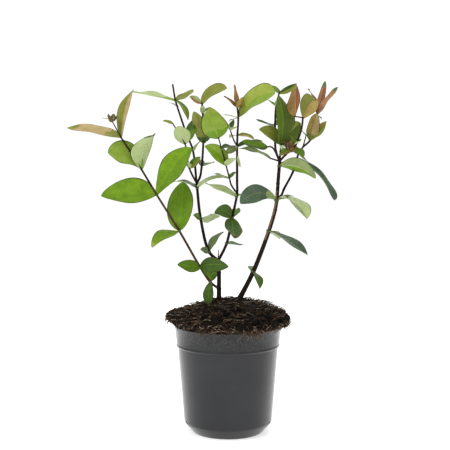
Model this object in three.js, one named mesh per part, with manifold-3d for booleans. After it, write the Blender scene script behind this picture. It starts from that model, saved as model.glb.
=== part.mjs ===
// A young tall tutsan, a shrubby St John's wort, growing in a round nursery pot.
// Millimetres, +Z up. The origin is the centre of the pot's flat underside.
// Seen from the front, along +Y, the plant's left is -X and its right is +X.

import * as THREE from "three";
import { mergeVertices } from "three/addons/utils/BufferGeometryUtils.js";
import Module from "manifold-3d";

const wasm = await Module();
wasm.setup();

// Driving dimensions of the pot, a 13 cm nursery pot.
const potHeight = 129;
const rimRadius = 64.7;
const footRadius = 42;
const heelRadius = 52.5;
const heelHeight = 13;
const ledgeRadius = 60.3;
const ledgeHeight = 104;
const ledgeStep = 1;
const potWall = 2.2;
const drainTurns = [20, 160, 200, 340];
const drainHoleReach = 51;
const drainHoleHeight = 10.5;
const drainHoleRadius = 4.4;
const drillLength = 12;
const drillSides = 10;
const potSides = 36;

// Driving dimensions of the compost heaped over the rim.
const heapTop = 158.5;
const heapRadius = 73.5;
const heapEdgeLow = 130.5;
const heapEdgeHigh = 140.5;
const heapLip = 2;
const heapShoulder = 45;
const heapDrop = 8.5;
const heapRoundness = 1.8;
const heapTilt = 0.03;
const heapPeak = 8;
const heapRoughness = 1.6;
const heapSides = 32;

// How the stems and leaves are cut in the solid.
const clearance = 0.3;
const socketDepth = 3;
const flareReach = 6;
const limbSides = 8;
const twigSides = 6;
const ringsPerInternode = 2;
const leafStations = 4;
const leafThickness = 0.9;
const leafRootWidth = 1.4;
const rootSink = 1.5;
const leafFold = 0.2;
const leafFullness = 0.7;
const collarWall = 0.8;
const collarHeight = 2.6;
const budSides = 8;

const degrees = Math.PI / 180;
const backward = new THREE.Vector3(0, 1, 0);

// The part's colours.
const finish = {
  plastic: { color: 0x4a4a4c, roughness: 0.5, metalness: 0 },
  compost: { color: 0x3a2a20, roughness: 1, metalness: 0 },
  bark: { color: 0x5a3a34, roughness: 0.8, metalness: 0 },
  green: { color: 0x6f9440, roughness: 0.6, metalness: 0 },
  bronze: { color: 0xb0764f, roughness: 0.6, metalness: 0 },
};

// A repeatable number between 0 and 1 for each pair of whole numbers.
function scatter(seed, index) {
  const value = Math.sin(seed * 12.9898 + index * 78.233) * 43758.5453;
  return value - Math.floor(value);
}

// Solids from triangles and back.
function closedGeometry(positions, faces) {
  const geometry = new THREE.BufferGeometry();
  geometry.setAttribute("position", new THREE.Float32BufferAttribute(positions, 3));
  geometry.setIndex(faces);
  return geometry;
}

function solidOf(geometry) {
  const plain = geometry.clone();
  plain.deleteAttribute("normal");
  plain.deleteAttribute("uv");
  const merged = mergeVertices(plain, 1e-4);
  return new wasm.Manifold(new wasm.Mesh({
    numProp: 3,
    vertProperties: new Float32Array(merged.attributes.position.array),
    triVerts: new Uint32Array(merged.index.array),
  }));
}

function geometryOf(solid) {
  const mesh = solid.getMesh();
  const geometry = closedGeometry(Array.from(mesh.vertProperties), Array.from(mesh.triVerts));
  geometry.computeVertexNormals();
  return geometry;
}

function fused(solids) {
  return solids.reduce((whole, next) => whole.add(next));
}

// Cutting can leave loose scraps: only the largest body is kept.
function largestBody(solid) {
  const bodies = solid.decompose();
  return bodies.reduce((best, next) => (next.volume() > best.volume() ? next : best));
}

// A closed skin over rings of points, each ring counterclockwise about the way it runs.
function loft(rings, startPoint, endPoint) {
  const sides = rings[0].length;
  const positions = [];
  const faces = [];
  rings.forEach((ring) => ring.forEach((point) => positions.push(point.x, point.y, point.z)));
  positions.push(startPoint.x, startPoint.y, startPoint.z, endPoint.x, endPoint.y, endPoint.z);
  const start = rings.length * sides;
  const last = (rings.length - 1) * sides;
  for (let side = 0; side < sides; side += 1) {
    const next = (side + 1) % sides;
    faces.push(start, next, side);
    faces.push(start + 1, last + side, last + next);
    for (let ring = 0; ring < rings.length - 1; ring += 1) {
      const low = ring * sides;
      const high = low + sides;
      faces.push(low + side, low + next, high + next);
      faces.push(low + side, high + next, high + side);
    }
  }
  return closedGeometry(positions, faces);
}

// Stems: each internode has a length, a lean to the right and a swing to the back.
function internode(long, lean, swing) {
  return { long, lean: lean * degrees, swing: swing * degrees };
}

function nodesAlong(start, run) {
  const points = [start.clone()];
  for (const part of run) {
    const flat = part.long * Math.cos(part.swing);
    const next = points.at(-1).clone();
    next.x += flat * Math.sin(part.lean);
    next.y += part.long * Math.sin(part.swing);
    next.z += flat * Math.cos(part.lean);
    points.push(next);
  }
  return points;
}

// A tapering limb through its nodes. The flare widens its foot over the first few millimetres.
function limbSolid(nodes, thickFoot, thickTip, grow, sides, flare = 0) {
  const course = new THREE.CatmullRomCurve3(nodes, false, "centripetal");
  const steps = nodes.length > 2 ? (nodes.length - 1) * ringsPerInternode : 1;
  const length = course.getLength();
  const rings = [];
  const ends = [];
  for (let step = 0; step <= steps; step += 1) {
    const along = step / steps;
    const point = course.getPointAt(along);
    const way = course.getTangentAt(along);
    if (step === 0) point.addScaledVector(way, -grow);
    if (step === steps) point.addScaledVector(way, grow);
    const across = new THREE.Vector3().crossVectors(backward, way).normalize();
    const over = new THREE.Vector3().crossVectors(way, across);
    const spread = flare * Math.exp((-along * length) / flareReach);
    const radius = (thickFoot + (thickTip - thickFoot) * along + spread) / 2 + grow;
    const ring = [];
    for (let side = 0; side < sides; side += 1) {
      const turn = (2 * Math.PI * side) / sides;
      ring.push(point.clone()
        .addScaledVector(across, radius * Math.cos(turn))
        .addScaledVector(over, radius * Math.sin(turn)));
    }
    rings.push(ring);
    ends.push(point);
  }
  return solidOf(loft(rings, ends[0], ends.at(-1)));
}

// Leaves: each has a length and a heading in plan, counterclockwise from the right.
// It rises above the level, droops along its length, and shows its face by a roll:
// at 0 the upper side faces up, and a positive roll turns it to the front.
function leaf(long, heading, rise, show = 0, more = {}) {
  return {
    long,
    heading: heading * degrees,
    rise: rise * degrees,
    show: show * degrees,
    broad: more.broad ?? 0.44,
    droop: (more.droop ?? 20) * degrees,
    widest: more.widest ?? 0.455,
    at: more.at ?? 0,
  };
}

// Half the width of an egg-shaped leaf at a share of its length, as a share of the widest.
// The leaf is broadest at its own share of the length.
function leafOutline(along, widest) {
  const early = Math.log(0.5) / Math.log(widest);
  return Math.max(0, Math.sin(Math.PI * along ** early)) ** leafFullness;
}

// The points of a midrib that bends down by the leaf's droop, with its ends where they belong.
function midribPoints(base, plan) {
  const steps = leafStations + 1;
  const raw = [{ out: 0, high: 0 }];
  for (let step = 0; step < steps; step += 1) {
    const pitch = plan.droop * (0.5 - (step + 0.5) / steps);
    const last = raw.at(-1);
    raw.push({ out: last.out + Math.cos(pitch), high: last.high + Math.sin(pitch) });
  }
  const scale = plan.long / raw.at(-1).out;
  return raw.map(({ out, high }) => {
    const flat = (out * Math.cos(plan.rise) - high * Math.sin(plan.rise)) * scale;
    const tall = (out * Math.sin(plan.rise) + high * Math.cos(plan.rise)) * scale;
    return base.clone().add(new THREE.Vector3(
      flat * Math.cos(plan.heading),
      flat * Math.sin(plan.heading),
      tall,
    ));
  });
}

function leafSolid(base, plan, grow) {
  const midrib = midribPoints(base, plan);
  const level = new THREE.Vector3(Math.sin(plan.heading), -Math.cos(plan.heading), 0);
  const front = Math.cos(plan.heading) >= 0 ? 1 : -1;
  const rings = [];
  for (let station = 0; station <= leafStations; station += 1) {
    const along = station / (leafStations + 1);
    const way = midrib[station + 1].clone().sub(midrib[Math.max(0, station - 1)]).normalize();
    const above = new THREE.Vector3().crossVectors(level, way);
    const face = above.multiplyScalar(Math.cos(plan.show))
      .addScaledVector(level, front * Math.sin(plan.show));
    const left = new THREE.Vector3().crossVectors(face, way).normalize();
    const wide = Math.max(leafRootWidth, plan.long * plan.broad * leafOutline(along, plan.widest));
    const half = wide / 2 + grow;
    const lift = half * leafFold;
    const deep = leafThickness / 2 + grow;
    const point = midrib[station];
    rings.push([
      point.clone().addScaledVector(left, half).addScaledVector(face, lift),
      point.clone().addScaledVector(face, deep),
      point.clone().addScaledVector(left, -half).addScaledVector(face, lift),
      point.clone().addScaledVector(face, -deep),
    ]);
  }
  return solidOf(loft(rings, midrib[0], midrib.at(-1)));
}

// A bud on the end of its stalk, narrowed at both ends.
function budSolid(centre, wide, grow) {
  const radius = wide / 2 + grow;
  const geometry = new THREE.SphereGeometry(radius, budSides, budSides / 2);
  geometry.rotateX(Math.PI / 2);
  geometry.scale(1, 1, 1.15);
  geometry.translate(centre.x, centre.y, centre.z);
  return solidOf(geometry);
}

// Small leaves in the axils of a spray's nodes: a seeded rule, evenly round the stem.
function axilLeaves(seed, at, count) {
  const leaves = [];
  for (let index = 0; index < count; index += 1) {
    const heading = (360 * (index + scatter(seed, index))) / count;
    const long = 11 + 6 * scatter(seed, index + 10);
    const rise = 25 + 40 * scatter(seed, index + 20);
    leaves.push(leaf(long, heading, rise, 0, { at, droop: 25 }));
  }
  return leaves;
}

// A spray: its stem, the leaves at its nodes, its buds and its side twigs, all fused.
function sprayParts(start, plan, grow) {
  const nodes = nodesAlong(start, plan.run);
  const parts = [limbSolid(nodes, plan.thick[0], plan.thick[1], grow, twigSides)];
  const axils = (plan.axils ?? []).flatMap(([at, count]) => axilLeaves(plan.seed, at, count));
  for (const each of [...plan.leaves, ...axils]) {
    const way = nodes[each.at].clone().sub(nodes[each.at - 1]).normalize();
    const root = nodes[each.at].clone().addScaledVector(way, -rootSink);
    parts.push(leafSolid(root, each, grow));
  }
  for (const bud of plan.buds ?? []) {
    parts.push(budSolid(nodes[bud.at], bud.wide, grow));
  }
  for (const twig of plan.twigs ?? []) {
    parts.push(...sprayParts(nodes[twig.at], twig, grow));
  }
  return parts;
}

// The heap of compost: its plain height at a place, before its lumps.
function heapHeight(x, y) {
  const drop = heapDrop * (Math.hypot(x - heapPeak, y) / heapShoulder) ** heapRoundness;
  return heapTop - drop - heapTilt * x;
}

// A body turned round the vertical axis, from its underside's centre to its top's centre.
function turned(profile, sides, reshape = (point) => point) {
  const rings = profile.slice(1, -1).map(([radius, height], ringIndex) => {
    const ring = [];
    for (let side = 0; side < sides; side += 1) {
      const turn = (2 * Math.PI * side) / sides;
      const point = new THREE.Vector3(radius * Math.cos(turn), radius * Math.sin(turn), height);
      ring.push(reshape(point, ringIndex, side));
    }
    return ring;
  });
  const start = new THREE.Vector3(0, 0, profile[0][1]);
  const end = new THREE.Vector3(0, 0, profile.at(-1)[1]);
  return solidOf(loft(rings, start, end));
}

function potSolid() {
  const inset = potWall;
  const profile = [
    [0, 0],
    [footRadius, 0],
    [heelRadius, heelHeight],
    [ledgeRadius, ledgeHeight],
    [ledgeRadius + ledgeStep, ledgeHeight + ledgeStep],
    [rimRadius, potHeight],
    [rimRadius - inset, potHeight],
    [ledgeRadius + ledgeStep - inset, ledgeHeight + ledgeStep],
    [ledgeRadius - inset, ledgeHeight],
    [heelRadius - inset, heelHeight + inset / 2],
    [footRadius - inset / 2, inset],
    [0, inset],
  ];
  let pot = turned(profile, potSides);
  const heelSlope = Math.atan2(heelRadius - footRadius, heelHeight);
  for (const turn of drainTurns) {
    const drill = new THREE.CylinderGeometry(drainHoleRadius, drainHoleRadius, drillLength, drillSides);
    drill.rotateZ(-Math.PI / 2);
    drill.rotateY(heelSlope);
    drill.translate(drainHoleReach, 0, drainHoleHeight);
    drill.rotateZ(turn * degrees);
    pot = pot.subtract(solidOf(drill));
  }
  return pot;
}

// Compost: it fills the pot just clear of the wall, and its heap hangs out over the rim.
function compostSolid() {
  const inner = potWall + clearance;
  const floor = potWall + clearance;
  const overRim = potHeight + 2 * clearance;
  const domeRings = [63, 52, 40, 27, 13];
  const profile = [
    [0, floor],
    [footRadius - potWall / 2 - clearance, floor],
    [heelRadius - inner, heelHeight + potWall / 2 + clearance],
    [ledgeRadius - inner, ledgeHeight],
    [ledgeRadius + ledgeStep - inner, ledgeHeight + ledgeStep],
    [rimRadius - inner, overRim],
    [rimRadius + heapLip, overRim + heapLip / 2],
    [heapRadius - heapLip / 2, heapEdgeLow + heapLip],
    [heapRadius, (heapEdgeLow + heapEdgeHigh) / 2],
    [heapRadius - heapLip, heapEdgeHigh],
    ...domeRings.map((radius) => [radius, 0]),
    [0, heapTop],
  ];
  const firstLoose = 6;
  const firstDome = 9;
  const roughen = (point, ring, side) => {
    if (ring < firstLoose) return point;
    const lump = heapRoughness * (2 * scatter(ring, side) - 1);
    const out = Math.hypot(point.x, point.y);
    if (ring >= firstDome) {
      point.z = heapHeight(point.x, point.y) + lump * Math.min(1, out / heapShoulder);
      return point;
    }
    const spread = 1 + lump / out;
    const high = point.z - heapTilt * point.x + lump / 2;
    return new THREE.Vector3(point.x * spread, point.y * spread, high);
  };
  return turned(profile, heapSides, roughen);
}

// The plant's limbs. Each one starts at its foot in the compost or at a node of another.
const limbPlans = [
  {
    name: "stem_left",
    foot: [-10.8, 0],
    thick: [5.2, 4.5],
    flare: 2.8,
    stub: { tall: 13, thick: [1.1, 0.6] },
    run: [internode(17.1, 0, 0), internode(20, 0, 0), internode(14, -3, 0)],
  },
  {
    name: "stem_right",
    foot: [11.6, 0],
    thick: [5.8, 3.8],
    flare: 2.8,
    run: [
      internode(40.8, 27, 1),
      internode(52.5, 21, 3),
      internode(26.5, 16.5, 2),
      internode(15, 8.5, 4),
      internode(17, 4, 3),
      internode(26.5, 4.5, 4),
    ],
  },
  {
    name: "bough_far_left",
    from: ["stem_left", 1],
    thick: [3.1, 2.4],
    run: [
      internode(14, -50, -14),
      internode(22, -33, -12),
      internode(51.5, -29, -10),
      internode(50.5, -31, -10),
      internode(12, -30, -10),
    ],
  },
  {
    name: "bough_middle_left",
    from: ["stem_left", 3],
    thick: [3.7, 3.1],
    run: [internode(15, -47, 4), internode(41, -14.5, 4), internode(42.5, -6.5, 4)],
  },
  {
    name: "bough_middle_right",
    from: ["stem_left", 3],
    thick: [3.4, 2.8],
    run: [
      internode(23, 25.5, -3),
      internode(31, 12, -3),
      internode(30, 11.5, -2),
      internode(12, 0, 0),
    ],
  },
  {
    name: "bough_right_side",
    from: ["stem_right", 4],
    thick: [2.9, 2.3],
    run: [
      internode(6, 70, 28),
      internode(9, 25, 20),
      internode(24, 28.5, 16),
      internode(24.5, 18.5, 15),
      internode(10, 34, 12),
    ],
  },
];

// Sprays: the leafy shoots that carry on from the boughs.
const sprayPlans = [
  {
    name: "spray_far_left",
    from: ["bough_far_left", 5],
    thick: [2.5, 2],
    run: [internode(24, -30, -10), internode(44, -31.5, -10)],
    leaves: [
      leaf(44, -170, 27, 70, { at: 1, broad: 0.64, droop: 90, widest: 0.6 }),
      leaf(50, -60, 52, 21, { at: 1, broad: 0.64, droop: 105 }),
      leaf(70, 164, 10, 14, { at: 2, broad: 0.43, droop: 12 }),
      leaf(66, 68, 61, -27, { at: 2, broad: 0.32, droop: 60 }),
    ],
    twigs: [{
      at: 2,
      thick: [1.5, 1.2],
      run: [internode(24, -27, -20)],
      leaves: [leaf(12, -161, 12, 0, { at: 1 }), leaf(11, 30, 30, 0, { at: 1 })],
      buds: [{ at: 1, wide: 9 }],
    }],
  },
  {
    name: "spray_middle_left_low",
    from: ["bough_middle_left", 3],
    thick: [2.5, 1.5],
    run: [internode(24, -24, -26), internode(31, -9, -22), internode(28, -31, -12)],
    leaves: [
      leaf(27, -165, 30, 0, { at: 1 }),
      leaf(19, -5, 46, 90, { at: 1, broad: 0.49 }),
      leaf(27, -120, 52, -20, { at: 2, broad: 0.75, droop: 30 }),
      leaf(13, 172, 18, 40, { at: 3, broad: 0.4, droop: 40 }),
      leaf(30, 59, 40, 0, { at: 2 }),
    ],
    seed: 3,
    axils: [[1, 2]],
  },
  {
    name: "spray_middle_left_tall",
    from: ["bough_middle_left", 3],
    thick: [2.8, 2.1],
    run: [
      internode(41.5, -7, 15),
      internode(22, -21.5, 13),
      internode(36.5, -19, 12),
      internode(8, -16, 8),
      internode(19, -10, 8),
    ],
    leaves: [
      leaf(25, -49, 49, 90, { at: 2, broad: 0.53, droop: -20 }),
      leaf(26, 124, 16, 0, { at: 2 }),
      leaf(54, 177, 12, 15, { at: 4, broad: 0.42, droop: 5 }),
      leaf(34, 47, 25, 11, { at: 4, broad: 0.39, droop: -10 }),
      leaf(31, -37, -52, 15, { at: 4, broad: 0.27, droop: 70, widest: 0.42 }),
    ],
    seed: 5,
    axils: [[1, 2], [3, 1]],
  },
  {
    name: "spray_middle_left_right",
    from: ["bough_middle_left", 3],
    thick: [2.8, 2.2],
    run: [
      internode(8.5, 27, 8),
      internode(15, 9, 3),
      internode(28, 3.5, 0),
      internode(34, -1, -2),
      internode(12.5, -3.5, -3),
    ],
    leaves: [
      leaf(30, 62, 9, -4, { at: 2, broad: 0.5, droop: -10 }),
      leaf(18, 95, 25, 0, { at: 2 }),
      leaf(40, -140, 69, -2, { at: 3, broad: 0.7, droop: 5, widest: 0.35 }),
      leaf(34, -65, 15, 60, { at: 3 }),
      leaf(38, -28, 28, 58, { at: 5, broad: 0.52, droop: 70 }),
      leaf(25, 132, 21, 90, { at: 5, broad: 0.3, droop: 26 }),
    ],
    seed: 7,
    axils: [[4, 2]],
  },
  {
    name: "spray_middle_front",
    from: ["bough_middle_right", 3],
    thick: [2.4, 1.8],
    run: [
      internode(14, -33, -24),
      internode(10.5, -15, -24),
      internode(17, -15, -24),
      internode(35.5, -15, -22),
    ],
    leaves: [
      leaf(25, -137, 14, 34, { at: 2, broad: 0.39, droop: -15 }),
      leaf(16, 60, 26, 0, { at: 2 }),
      leaf(36, -154, 40, 95, { at: 3, broad: 0.46, droop: 60 }),
      leaf(30, -67, 17, 0, { at: 3 }),
      leaf(54, 107, 43, 16, { at: 4, broad: 0.58, droop: -18, widest: 0.35 }),
      leaf(36, 138, 5, 25, { at: 4 }),
    ],
  },
  {
    name: "spray_middle_top",
    from: ["bough_middle_right", 4],
    thick: [3, 2.2],
    run: [
      internode(44.5, 0, -3),
      internode(14, 1.5, -4),
      internode(20.5, 2.5, -3),
      internode(12, -6, 0),
    ],
    leaves: [
      leaf(35, -125, -4, 12, { at: 1, broad: 0.33, droop: 30 }),
      leaf(21, -135, -22, 60, { at: 1, broad: 0.42, droop: 25 }),
      leaf(36, 28, 11, 11, { at: 1, broad: 0.33, droop: 42 }),
      leaf(22, 24, -10, 42, { at: 2, broad: 0.36, droop: 46, widest: 0.55 }),
      leaf(24, 111, -6, 0, { at: 2 }),
      leaf(60, -37, 28, 58, { at: 3, broad: 0.6, droop: 60, widest: 0.57 }),
      leaf(20, -159, 11, 0, { at: 3, broad: 0.25 }),
      leaf(14, 151, -15, 0, { at: 3, broad: 0.3 }),
      leaf(24, -25, -80, 60, { at: 1, broad: 0.13, droop: -20, widest: 0.75 }),
      leaf(23, -150, 36, 50, { at: 4, broad: 0.3 }),
      leaf(28, -120, 76, 20, { at: 4, broad: 0.3, droop: -10 }),
      leaf(17, -60, 48, 0, { at: 4, broad: 0.6, droop: -60 }),
    ],
    twigs: [{
      at: 1,
      thick: [1.8, 1.4],
      run: [internode(7.5, -30, -8), internode(14.5, -20, -16)],
      leaves: [
        leaf(14, -130, 41, 0, { at: 2, broad: 0.5 }),
        leaf(16, 61, 58, 0, { at: 2 }),
        leaf(14, -57, 18, 0, { at: 2, broad: 0.5 }),
      ],
    }],
  },
  {
    name: "spray_right_tall",
    from: ["stem_right", 6],
    thick: [3, 2],
    run: [
      internode(14, -20, 25),
      internode(15, -3, 22),
      internode(19.5, 1, 20),
      internode(23.5, 3.5, 15),
      internode(17.5, 14, 10),
    ],
    leaves: [
      leaf(26, 111, 31, 0, { at: 2 }),
      leaf(26, 156, 18, 13, { at: 3, broad: 0.32, droop: -20 }),
      leaf(30, 60, 15, 0, { at: 3, broad: 0.4 }),
      leaf(25, 0, 29, 90, { at: 5, broad: 0.32, droop: -20 }),
      leaf(24, 120, 26, 0, { at: 5 }),
    ],
    seed: 11,
    axils: [[4, 2]],
  },
  {
    name: "spray_right_middle",
    from: ["stem_right", 6],
    thick: [2.5, 2.1],
    run: [internode(12.5, 4, -6), internode(9, 3, -8)],
    leaves: [
      leaf(36, -148, 29, 92, { at: 2, droop: 70 }),
      leaf(60, 114, 83, -30, { at: 2, broad: 0.62, droop: 70, widest: 0.4 }),
      leaf(37, 22, 46, 70, { at: 2, broad: 0.66 }),
    ],
  },
  {
    name: "spray_right_front",
    tint: "bronze",
    from: ["stem_right", 6],
    thick: [2.7, 2.2],
    run: [
      internode(12, 40, -34),
      internode(12.5, 46, -36),
      internode(8, 40, -30),
      internode(23, 17, -28),
      internode(13, 5, -24),
    ],
    leaves: [
      leaf(51, 65, 27, 51, { at: 5, broad: 0.46, droop: 59, widest: 0.52 }),
      leaf(17, -150, 40, 40, { at: 2, broad: 0.5 }),
      leaf(20, -38, -25, 20, { at: 2, broad: 0.72, droop: 50 }),
      leaf(17, -150, -24, 30, { at: 2, broad: 0.7 }),
      leaf(17, 70, 50, 30, { at: 2, broad: 0.5 }),
    ],
    twigs: [{
      at: 5,
      thick: [1.6, 1.4],
      run: [internode(11, -82, -20)],
      leaves: [leaf(44, 88, 58, -59, { at: 1, broad: 0.6, droop: 10 })],
    }],
    buds: [{ at: 2, wide: 11 }],
    seed: 17,
    axils: [[1, 2], [3, 3]],
  },
  {
    name: "spray_right_left",
    from: ["stem_right", 6],
    thick: [2.1, 1.7],
    run: [internode(20.5, -30, -20), internode(7.5, -85, -24)],
    leaves: [leaf(37, -149, 10, 47, { at: 2, broad: 0.42, droop: -16 })],
    twigs: [{
      at: 0,
      thick: [2.1, 1.7],
      run: [internode(14, -73, -22)],
      leaves: [leaf(41, -163, 17, 23, { at: 1, broad: 0.33, droop: 30 })],
    }],
  },
  {
    name: "spray_right_side",
    tint: "bronze",
    from: ["bough_right_side", 5],
    thick: [2.5, 1.8],
    run: [internode(12.5, 46, 6), internode(32.5, 15, 6)],
    leaves: [
      leaf(35, -50, 70, -83, { at: 1, broad: 0.58, droop: 12 }),
      leaf(33, -34, 45, 70, { at: 1, broad: 0.36, droop: -20, widest: 0.62 }),
      leaf(41, 113, 54, -36, { at: 2, broad: 0.27, droop: 60 }),
      leaf(43, 22, 75, 92, { at: 2, broad: 0.25, droop: 0 }),
      leaf(43, -26, 51, 42, { at: 2, broad: 0.36, droop: 7 }),
      leaf(10, -49, -31, 0, { at: 2 }),
    ],
    twigs: [{
      at: 0,
      thick: [1.7, 1.3],
      run: [internode(16.5, 16, 18)],
      leaves: [leaf(14, 160, 40, 0, { at: 1 }), leaf(13, -10, 45, 0, { at: 1 })],
    }],
  },
];

// Leaf pairs that clasp a limb at a node, joined by a thin collar round it.
const pairPlans = [
  {
    on: "bough_far_left",
    node: 1,
    leaves: [leaf(31, -112, -78, -7, { broad: 0.46 }), leaf(32, 80, 25)],
  },
  {
    on: "bough_far_left",
    node: 2,
    leaves: [
      leaf(35, -140, 10, 81, { broad: 0.42, droop: 0 }),
      leaf(42, -37, 5, 95, { droop: 36 }),
      leaf(20, 9, -50, 85, { broad: 0.38, droop: 60 }),
    ],
  },
  {
    on: "bough_far_left",
    node: 3,
    leaves: [
      leaf(61, 79, 69, -16, { broad: 0.58, droop: 0 }),
      leaf(48, -131, -20, 5, { broad: 0.56, droop: 38 }),
    ],
  },
  {
    on: "bough_far_left",
    node: 4,
    leaves: [
      leaf(66, 176, -1, 51, { broad: 0.53, droop: 29 }),
      leaf(70, -17, 52, 78, { broad: 0.42, droop: 28, widest: 0.56 }),
    ],
  },
  {
    on: "bough_middle_left",
    node: 1,
    leaves: [leaf(30, 20, 52, 11, { broad: 0.52, droop: 46 }), leaf(16, -133, 16, 83, { broad: 0.5 })],
  },
  {
    on: "bough_middle_left",
    node: 2,
    leaves: [
      leaf(38, 53, 1, -47, { broad: 0.36, droop: -20 }),
      leaf(24, -110, 13, 85, { broad: 0.33 }),
    ],
  },
  {
    on: "bough_middle_left",
    node: 3,
    below: 5,
    leaves: [
      leaf(41, 150, 8, 0, { broad: 0.47, droop: 37 }),
      leaf(40, -25, 19, -11, { broad: 0.4, droop: 43 }),
    ],
  },
  {
    on: "bough_middle_right",
    node: 1,
    leaves: [leaf(31, 47, -6, 15, { broad: 0.48, droop: -8 })],
  },
  {
    on: "bough_middle_right",
    node: 2,
    leaves: [
      leaf(31, -133, 13, 92, { broad: 0.5, droop: 90 }),
      leaf(42, -87, -29, -22, { broad: 0.54, droop: -20 }),
      leaf(30, 75, 20),
    ],
  },
  {
    on: "bough_middle_right",
    node: 3,
    below: 4,
    leaves: [leaf(44, -155, 23, -11, { broad: 0.56, droop: 0 }), leaf(24, 60, 5)],
  },
  {
    on: "stem_right",
    node: 1,
    leaves: [leaf(26, -66, -46, -25, { broad: 0.58, droop: 85 }), leaf(20, 100, 15)],
  },
  {
    on: "stem_right",
    node: 2,
    leaves: [leaf(57, -27, -28), leaf(32, 60, -22)],
  },
  {
    on: "stem_right",
    node: 4,
    below: 4,
    leaves: [
      leaf(49, -152, -3, 70, { droop: 98, widest: 0.62 }),
      leaf(56, -51, -20, -5, { broad: 0.54, droop: 88, widest: 0.6 }),
      leaf(22, -12, 14, 20, { broad: 0.26, droop: 50 }),
    ],
  },
  {
    on: "stem_right",
    node: 6,
    below: 6,
    leaves: [leaf(46, 2, -19, -36, { broad: 0.54, droop: 66, widest: 0.42 }), leaf(34, 48, 4)],
  },
  {
    on: "bough_right_side",
    node: 4,
    leaves: [leaf(73, -28, -49, -1, { broad: 0.36, droop: 25, widest: 0.75 }), leaf(40, 120, 15)],
  },
];

// What stands already, with each piece's slightly thicker copy that keeps others clear of it.
const standing = [];
const nodesOf = {};

function startOf(plan) {
  if (plan.foot) {
    const [x, y] = plan.foot;
    return new THREE.Vector3(x, y, heapHeight(x, y) - socketDepth);
  }
  const [limb, node] = plan.from;
  return nodesOf[limb][node];
}

function standClear(name, material, build) {
  const clear = standing.reduce((solid, other) => solid.subtract(other.thicker), build(0));
  const solid = largestBody(clear);
  standing.push({ name, material, solid, thicker: build(clearance) });
}

// A limb, with the dead stub of a twig that broke off at its last node, where it has one.
function limbParts(plan, nodes, grow) {
  const parts = [limbSolid(nodes, plan.thick[0], plan.thick[1], grow, limbSides, plan.flare)];
  if (plan.stub) {
    const foot = nodes.at(-1);
    const tip = foot.clone().setZ(foot.z + plan.stub.tall);
    const [thickFoot, thickTip] = plan.stub.thick;
    parts.push(limbSolid([foot, tip], thickFoot, thickTip, grow, twigSides));
  }
  return parts;
}

for (const plan of limbPlans) {
  const nodes = nodesAlong(startOf(plan), plan.run);
  nodesOf[plan.name] = nodes;
  standClear(plan.name, finish.bark, (grow) => fused(limbParts(plan, nodes, grow)));
}

for (const plan of sprayPlans) {
  const start = startOf(plan);
  standClear(plan.name, finish[plan.tint ?? "green"], (grow) => fused(sprayParts(start, plan, grow)));
}

function pairParts(plan, grow) {
  const limb = limbPlans.find((each) => each.name === plan.on);
  const nodes = nodesOf[plan.on];
  const here = nodes[plan.node];
  const way = here.clone().sub(nodes[plan.node - 1]).normalize();
  const seat = here.clone().addScaledVector(way, -(plan.below ?? 0));
  const share = plan.node / limb.run.length;
  const thick = limb.thick[0] + (limb.thick[1] - limb.thick[0]) * share;
  const foot = seat.clone().addScaledVector(way, -collarHeight / 2);
  const top = seat.clone().addScaledVector(way, collarHeight / 2);
  const wide = thick + 2 * (clearance + collarWall);
  return [
    limbSolid([foot, top], wide, wide, grow, limbSides),
    ...plan.leaves.map((each) => leafSolid(seat, each, grow)),
  ];
}

const pairCount = {};
for (const plan of pairPlans) {
  pairCount[plan.on] = (pairCount[plan.on] ?? 0) + 1;
  const name = `leaves_${plan.on.replace(/^(stem|bough)_/, "")}_${pairCount[plan.on]}`;
  standClear(name, finish.green, (grow) => fused(pairParts(plan, grow)));
}

standClear("compost", finish.compost, () => compostSolid());
standClear("pot", finish.plastic, () => potSolid());

const plant = new THREE.Group();
plant.name = "potted_tall_tutsan";
for (const piece of standing) {
  const mesh = new THREE.Mesh(geometryOf(piece.solid), new THREE.MeshStandardMaterial(piece.material));
  mesh.name = piece.name;
  plant.add(mesh);
}

export default plant;
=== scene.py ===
# %% [markdown]
# A young tall tutsan in a round nursery pot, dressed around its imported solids.
# The solids hold every size and place. This script only makes the looks: it
# grows finer twigs and leaves in the same places, by the same rule that the
# solids were grown by, and gives each surface its own finish. Everything is in
# metres, with +Z up and the origin under the middle of the pot.

# %% Load the solids and keep their size
import math

import bmesh
import bpy
import numpy as np
from mathutils import Matrix, Vector, noise


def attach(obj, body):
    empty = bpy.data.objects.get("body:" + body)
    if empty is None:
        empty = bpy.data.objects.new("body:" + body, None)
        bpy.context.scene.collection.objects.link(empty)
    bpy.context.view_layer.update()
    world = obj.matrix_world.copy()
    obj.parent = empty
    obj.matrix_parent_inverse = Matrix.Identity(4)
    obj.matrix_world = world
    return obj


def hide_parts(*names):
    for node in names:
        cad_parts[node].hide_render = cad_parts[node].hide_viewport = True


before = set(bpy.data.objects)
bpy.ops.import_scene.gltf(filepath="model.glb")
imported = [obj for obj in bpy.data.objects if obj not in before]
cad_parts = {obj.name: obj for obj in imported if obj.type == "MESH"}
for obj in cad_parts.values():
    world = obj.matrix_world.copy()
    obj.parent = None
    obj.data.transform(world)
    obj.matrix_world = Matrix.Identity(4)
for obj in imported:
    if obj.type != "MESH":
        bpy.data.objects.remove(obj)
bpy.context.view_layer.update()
scene = bpy.context.scene
MM = 0.001

# %% [markdown]
# The camera comes first, because everything is judged through it. The pot's
# foot and rim curve by different amounts in the photograph, which gives the
# eye's height and distance, and the rim's width gives the length of the lens.

# %% Camera
CAMERA_PLACE = (-0.0036, -1.25, 0.3475)
CAMERA_TILT_DOWN = math.radians(3)
CAMERA_LENS_MM = 84
CAMERA_SHIFT_UP = -0.0635

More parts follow.
